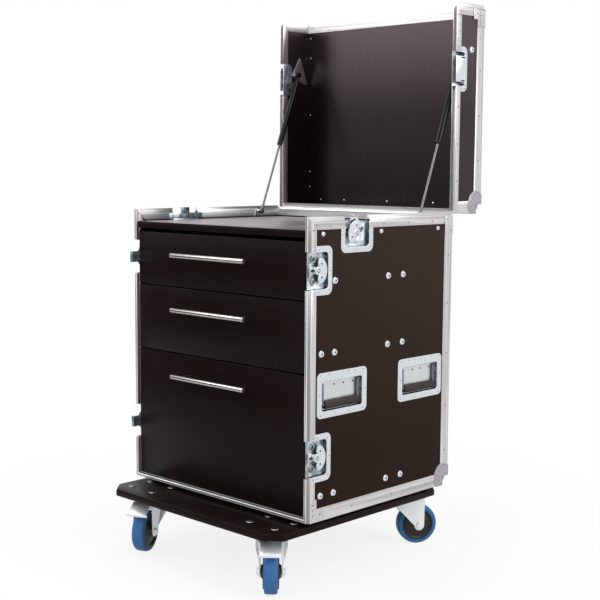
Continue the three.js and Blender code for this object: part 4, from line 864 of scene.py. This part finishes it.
for side, s in SIDES:
    spots, holes = [], []
    for end, y in HANDLES.items():
        eased(f"handle_dish_{end}_{side}", 0.7, zinc, pressed_floor, shaded_zinc, deep_shadow, half_shaded_zinc,
              segments=3, paint=handle_part)
        bm = bmesh.new()
        for way in (-1, 1):
            top = at(s * PIVOT_X, y + way * ARM["half"], PIVOT_Z)
            low = at(s * PIVOT_X, y + way * ARM["half"], GRIP_Z + ARM["elbow"])
            bar(bm, top, low, ARM["radius"], segments=20)
            stub = Vector((0, way * ARM["stub"] * MM, 0))
            bar(bm, top, top + stub, ARM["radius"], ARM["edge"], segments=20)
            ring = bmesh.ops.create_circle(bm, segments=20, radius=ARM["radius"] * MM,
                                           matrix=Matrix.Translation(low))["verts"]
            loop = list({e for v in ring for e in v.link_edges})
            bmesh.ops.spin(bm, geom=ring + loop, cent=low - Vector((0, way * ARM["elbow"] * MM, 0)),
                           axis=(-way, 0, 0), angle=math.pi / 2, steps=8)
        inner = Vector((0, (ARM["half"] - ARM["elbow"]) * MM, 0))
        middle = at(s * PIVOT_X, y, GRIP_Z)
        bar(bm, middle - inner, middle + inner, ARM["radius"], segments=20)
        old_faces, old_verts = set(bm.faces), set(bm.verts)
        reach = Vector((0, GRIP["half"] * MM, 0))
        bar(bm, -reach, reach, GRIP["high"], GRIP["edge"])
        sleeve = [v for v in bm.verts if v not in old_verts]
        place = Matrix.Translation(at(s * GRIP_X, y + GRIP["aside"], GRIP_Z))
        oval = Matrix.Diagonal((GRIP["deep"] / GRIP["high"], 1, 1, 1))
        bmesh.ops.transform(bm, matrix=place @ oval, verts=sleeve)
        for face in set(bm.faces) - old_faces:
            face.material_index = 1
        redrawn(f"handle_bail_{end}_{side}", bm, bail_steel, rubber)
        for z, row in HANDLE_RIVETS.items():
            spots += side_places(s, [(y + along, z) for along in row], -DISH_SUNK)
        holes += [at(s * FLOOR_HOLES["x"], y + along, FLOOR_HOLES["z"]) for along in FLOOR_HOLES["along"]]
    rivet_row(f"handle_rivets_{side}", spots, (s, 0, 0), "case", zinc, radius=LATCH_RIVET)
    # The holes in each dish floor are discs painted dark as shade.
    bm = bmesh.new()
    proud = Vector((s * FLOOR_HOLES["proud"] * MM, 0, 0))
    for hole in holes:
        bar(bm, hole, hole + proud, FLOOR_HOLES["radius"], segments=20)
    make_piece(f"handle_floor_holes_{side}", bm, "case", painted_hole_shade)

# The drawer runners are held by large button-head bolts through the side panels, in three rows,
# and the work surface by smaller screws under the rim. All are bright zinc, with sockets painted dark as
# shade.
BUTTON = {"crown": 0.8, "dome": 0.25, "flat": 0.55, "socket_depth": 0.5}


def button_heads(name, spots, direction, body, radius, height, socket):
    """Button-head screws that face one way, each domed in two steps round a socket painted dark as shade."""
    bm = bmesh.new()
    out = Vector(direction)
    lift = Matrix.Translation((0, 0, height * MM / 2))
    for spot in spots:
        before = set(bm.faces)
        bmesh.ops.create_cone(bm, cap_ends=True, segments=24, radius1=radius * MM,
                              radius2=radius * BUTTON["crown"] * MM, depth=height * MM,
                              matrix=facing(spot, direction) @ lift)
        crown = max(set(bm.faces) - before, key=lambda f: f.calc_center_median().dot(out))
        bmesh.ops.inset_region(bm, faces=[crown], thickness=radius * BUTTON["dome"] * MM,
                               depth=height * BUTTON["dome"] * MM)
        bmesh.ops.inset_region(bm, faces=[crown], thickness=(radius * BUTTON["flat"] - socket) * MM)
        sunk = bmesh.ops.extrude_discrete_faces(bm, faces=[crown])["faces"][0]
        bmesh.ops.translate(bm, verts=sunk.verts, vec=-out * height * BUTTON["socket_depth"] * MM)
        sunk.material_index = 1
        for edge in sunk.edges:
            for face in edge.link_faces:
                face.material_index = 1
    return make_piece(name, bm, body, zinc, painted_hole_shade)


RUNNER_BOLT = {"radius": 8, "height": 2.2, "socket": 2.2}
BOARD_SCREW = {"radius": 5.5, "height": 1.6, "socket": 1.4}
RUNNER_ROWS = {534.8: (79.2, 261.4, 315.2), 375.2: (36.2, 79.2, 261.4, 315.2),
               56.4: (36.2, 79.2, 261.4, 315.2)}
BOARD_SCREW_Z, BOARD_SCREW_ROW = 638.6, (39.6, 234.2, 445.2)
for side, s in SIDES:
    bolts = [at(s * PANEL_OUTER, y, z) for z, row in RUNNER_ROWS.items() for y in row]
    button_heads(f"runner_bolts_{side}", bolts, (s, 0, 0), "case", **RUNNER_BOLT)
    screws = [at(s * PANEL_OUTER, y, BOARD_SCREW_Z) for y in BOARD_SCREW_ROW]
    button_heads(f"board_screws_{side}", screws, (s, 0, 0), "case", **BOARD_SCREW)

# The lid is a tray of film-faced ply. Bolts and rivets that hold its corners and braces come
# through to the inside as small bright heads. Its outside carries profile rivets, and each latch
# receptor on it has four slots painted dark as shade.
LID_BOLT = (101, 732)
LID_RIVETS = [(70, 766), (150, 766), (260, 766), (370, 766), (450, 766),
              (14, 684), (21, 675), (60, 680), (240, 680), (330, 680), (420, 680)]
LID_PLATE_RIVETS = [(9, 740), (17, 740), (12, 748), (10, 760), (17, 760), (24, 760), (31, 760), (38, 760)]
RECEPTOR_RIVETS = [(-47, 690), (-47, 702), (47, 690), (47, 702), (-38, 708), (38, 708)]
SLOT = {"along": (-37, -28, 28, 37), "z": 690, "length": 12, "radius": 1.6}
INSIDE_RIVET, INSIDE_ROOF, INSIDE_X, INSIDE_REAR = 2.8, 770.5, 282, 479
FORWARDS = (0, -1, 0)


def lid_places(s, spots, proud=0.0):
    """Places on one side of the lid, as side_places gives them on the case."""
    return [on_lid(s * (HALF_WIDTH + proud), y, z) for y, z in spots]


for side, s in SIDES:
    out = (s, 0, 0)
    button_heads(f"lid_bolts_{side}", [on_lid(s * PANEL_OUTER, *LID_BOLT)], out, "lid", **RUNNER_BOLT)
    rivet_row(f"lid_rivets_{side}", lid_places(s, LID_RIVETS), out, "lid")
    plate = lid_places(s, LID_PLATE_RIVETS, CORNER_PLATE)
    rivet_row(f"lid_corner_rivets_{side}", plate, out, "lid", radius=LATCH_RIVET)
    receptor = lid_places(s, [(TOP_LATCH + along, z) for along, z in RECEPTOR_RIVETS], -DISH_SUNK)
    rivet_row(f"receptor_rivets_{side}", receptor, out, "lid", zinc, radius=LATCH_RIVET)
    bm = bmesh.new()
    for slot in lid_places(s, [(TOP_LATCH + along, SLOT["z"]) for along in SLOT["along"]], -DISH_SUNK):
        bar(bm, slot, slot + Vector((0, SLOT["length"] * MM, 0)), SLOT["radius"], segments=16)
    make_piece(f"receptor_slots_{side}", bm, "lid", painted_hole_shade)
    inside = [on_lid(s * INSIDE_X, y, INSIDE_ROOF) for y in (33, 87, 244, 402, 444)]
    rivet_row(f"lid_inside_rivets_{side}", inside, FORWARDS, "lid", zinc, radius=INSIDE_RIVET)
inside = [on_lid(x, INSIDE_REAR, INSIDE_ROOF) for x in (-239, -151, 3, 158, 239)]
rivet_row("lid_inside_bottom_rivets", inside, FORWARDS, "lid", zinc, radius=INSIDE_RIVET)

# The rear piano hinge is two leaves of stainless strip rolled round a pin. The case's leaf is held
# by small screws every 60 mm.
HINGE_SCREW = {"radius": 3.2, "height": 0.8, "socket": 0.9}
HINGE_LEAF_FACE, HINGE_SCREW_Z = 501.2, 655
dress(["hinge_body_leaf", "hinge_lid_leaf"], stainless)
hinge_screws = [at(x, HINGE_LEAF_FACE, HINGE_SCREW_Z) for x in range(-240, 241, 60)]
button_heads("hinge_screws_case", hinge_screws, BACKWARDS, "case", **HINGE_SCREW)

# Gas struts: a black painted tube over a polished rod, with an eye at each end. The rod's eye turns
# on a stud of the zinc plated foot, and the tube's eye on the stud of the triangular head plate.
black_enamel, tree, shader, places = finish("black_enamel_on_steel", "#050505", 0.2, specular=0.2)
patchy_gloss(tree, shader, places, 4, 0.14, 0.22)
polished_rod, tree, shader, places = finish("polished_piston_rod", "#6A6766", 0.22, metallic=1.0)
patchy_gloss(tree, shader, places, 3, 0.18, 0.28)
STRUT_X, FOOT, HEAD = 271.5, (406.0, 664.0), (546.0, 1034.0)
EYE = {"radius": 7, "half": 4.5, "edge": 0.8}
ROD = {"radius": 3, "length": 240, "collar": 4, "collar_length": 20, "taper": 1}
TUBE = {"length": 186, "radius": 7.5, "bore": 3.4, "lip": 6.3, "lip_length": 1.2, "stem": 4, "crown": 6}
TUBE_SHOULDER = [(7.5, 4), (7.0, 1.8), (5.6, 0.4)]
WELD_SPUN = 1e-6


def spun(bm, outline, place, steps=48):
    """An outline of (radius, height) points turned about the Z of a place."""
    before = set(bm.verts)
    line = [bm.verts.new((radius * MM, 0, height * MM)) for radius, height in outline]
    edges = [bm.edges.new(pair) for pair in zip(line, line[1:])]
    bmesh.ops.spin(bm, geom=line + edges, cent=(0, 0, 0), axis=(0, 0, 1), angle=math.tau, steps=steps,
                   use_merge=True)
    bmesh.ops.remove_doubles(bm, verts=[v for v in bm.verts if v not in before], dist=WELD_SPUN)
    bmesh.ops.transform(bm, matrix=place, verts=[v for v in bm.verts if v not in before])


for side, s in SIDES:
    foot, head = at(s * STRUT_X, *FOOT), at(s * STRUT_X, *HEAD)
    line_up = facing(foot, head - foot)
    length = (head - foot).length / MM
    eye_reach = Vector((EYE["half"] * MM, 0, 0))
    bm = bmesh.new()
    outline = [(0, 0), (ROD["collar"], 0), (ROD["collar"], ROD["collar_length"] - ROD["taper"])]
    outline += [(ROD["radius"], ROD["collar_length"]), (ROD["radius"], ROD["length"]), (0, ROD["length"])]
    spun(bm, outline, line_up)
    bar(bm, foot - eye_reach, foot + eye_reach, EYE["radius"], EYE["edge"])
    redrawn(f"strut_rod_{side}", bm, polished_rod)
    end = length - ROD["collar_length"]
    start, crown = end - TUBE["length"], end - TUBE["crown"]
    outline = [(TUBE["bore"], start), (TUBE["lip"], start), (TUBE["radius"], start + TUBE["lip_length"])]
    outline += [(radius, end - below) for radius, below in TUBE_SHOULDER]
    outline += [(TUBE["stem"], end), (TUBE["stem"], length), (0, length), (0, crown)]
    outline += [(TUBE["bore"], crown), (TUBE["bore"], start)]
    bm = bmesh.new()
    spun(bm, outline, line_up)
    bar(bm, head - eye_reach, head + eye_reach, EYE["radius"], EYE["edge"])
    redrawn(f"strut_tube_{side}", bm, black_enamel)
    eased(f"strut_foot_{side}", 0.3, zinc)
    eased(f"strut_head_{side}", 0.5, pressed_steel)

# The castor board is thick ply with the drawers' dull film. Four rubber feet keep the case off it,
# and a zinc plated plate under each corner carries a castor on four bolts. Each bolt's head is
# plated, with a ring of painted shade on the slope round its dimple.
BOARD_DOWN, BOARD_THICK = 8.3, 18
BOARD_TOP, BOARD_BOTTOM = CASE_BOTTOM - BOARD_DOWN * MM, CASE_BOTTOM - (BOARD_DOWN + BOARD_THICK) * MM
CASTOR_SPOTS = [(212, -29), (-212, -29), (212, 428), (-212, 428)]
PLATE_HOLES = [(dx, dy) for dx in (-40, 40) for dy in (-30, 30)]
BOLT = {"height": 2.2, "rim": 7.9, "rim_height": 1.54, "shoulder": 5, "dimple": 1.6}
BOLT_FOOT = [(9, 0), (8.7, 0.9)]
UPWARDS = (0, 0, 1)


def board_parts(face):
    """The finish of a face of the board's node: rubber feet above, zinc plates below."""
    height = face.calc_center_median().z
    if height > BOARD_TOP + 0.1 * MM:
        return 1
    return 2 if height < BOARD_BOTTOM - 0.1 * MM else 0


eased("castor_board", 0.4, smooth_film, rubber, zinc, paint=board_parts)
rim, flat = (BOLT["rim"], BOLT["rim_height"]), (BOLT["dimple"], BOLT["height"])
bm = bmesh.new()
for x, y in CASTOR_SPOTS:
    for dx, dy in PLATE_HOLES:
        place = facing(at(x + dx, y + dy, -BOARD_DOWN), UPWARDS)
        spun(bm, [*BOLT_FOOT, rim], place, steps=32)
        # Painted shade: the slope round each dimple is in the black enamel.
        before = set(bm.faces)
        spun(bm, [rim, (BOLT["shoulder"], BOLT["height"]), flat], place, steps=32)
        for face in set(bm.faces) - before:
            face.material_index = 1
        spun(bm, [flat, (0, BOLT["height"] - 0.2)], place, steps=32)
make_piece("castor_bolts", bm, "case", pressed_steel, black_enamel)

# Swivel castors: plated steel forks round a blue elastic rubber tyre on a black nylon hub.
# The tyre is matt and dusty blue, and the hub is moulded with a deep ring round its bearing.
elastic_blue, tree, shader, places = finish("blue_elastic_rubber", "#2E6CA8", 0.6, specular=0.35)
dust = add_node(tree, "ShaderNodeTexNoise", {"Vector": places, "Scale": per_metre(12), "Detail": 4.0})
tint(tree, shader, dust.outputs[0], "#1E5A96", "#3F6F9C")
black_nylon, tree, shader, places = finish("black_moulded_nylon", "#171615", 0.5, specular=0.4)
patchy_gloss(tree, shader, places, 2, 0.42, 0.58)
fork_zinc, tree, shader, places = finish("zinc_plated_castor_steel", "#C9CED2", 0.34, metallic=0.5)
spangle = add_node(tree, "ShaderNodeTexNoise", {"Vector": places, "Scale": per_metre(5), "Detail": 3.0})
tint(tree, shader, spangle.outputs[0], "#D4D9DC", "#F0F1F2")
gloss(tree, shader, spangle.outputs[0], 0.26, 0.42)
HEADINGS = {"front_right": -46, "front_left": -63, "rear_right": 57, "rear_left": 105}
HUB_HALF, HUB_BORE = 23, 6.3
HUB_OUTLINE = [(HUB_BORE, -HUB_HALF), (13, -HUB_HALF), (14.2, -HUB_HALF + 1), (17, -18.5), (24, -16),
               (31.5, -13.4), (33.6, -14.2), (36.5, -17.6), (38.2, -17.8), (39.2, -16.2)]
TYRE_OUTLINE = [(39.2, -16.2), (39.6, -15), (45.4, -15), (46.8, -14.6), (48.2, -13.4), (49.2, -11.8),
                (49.8, -9), (49.98, -5)]


def mirrored(outline):
    """The same outline on the other side of the wheel, in the order that goes on from the first."""
    return [(radius, -width) for radius, width in reversed(outline)]


for name, heading in HEADINGS.items():
    wheel = f"castor_wheel_{name}"
    low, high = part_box(wheel)
    turned = math.radians(heading)
    place = facing((low + high) / 2, (-math.sin(turned), math.cos(turned), 0))
    bm = bmesh.new()
    for outline in (HUB_OUTLINE, mirrored(HUB_OUTLINE)):
        spun(bm, outline, place, steps=96)
    spun(bm, [(HUB_BORE, HUB_HALF), (HUB_BORE, -HUB_HALF)], place, steps=96)
    before = set(bm.faces)
    spun(bm, TYRE_OUTLINE + mirrored(TYRE_OUTLINE), place, steps=96)
    for face in set(bm.faces) - before:
        face.material_index = 1
    bmesh.ops.remove_doubles(bm, verts=bm.verts, dist=WELD_SPUN)
    redrawn(wheel, bm, black_nylon, elastic_blue)
    eased(f"castor_fork_{name}", 0.5, fork_zinc)
for name in ("front_right", "front_left"):
    eased(f"brake_pedal_{name}", 0.6, fork_zinc)
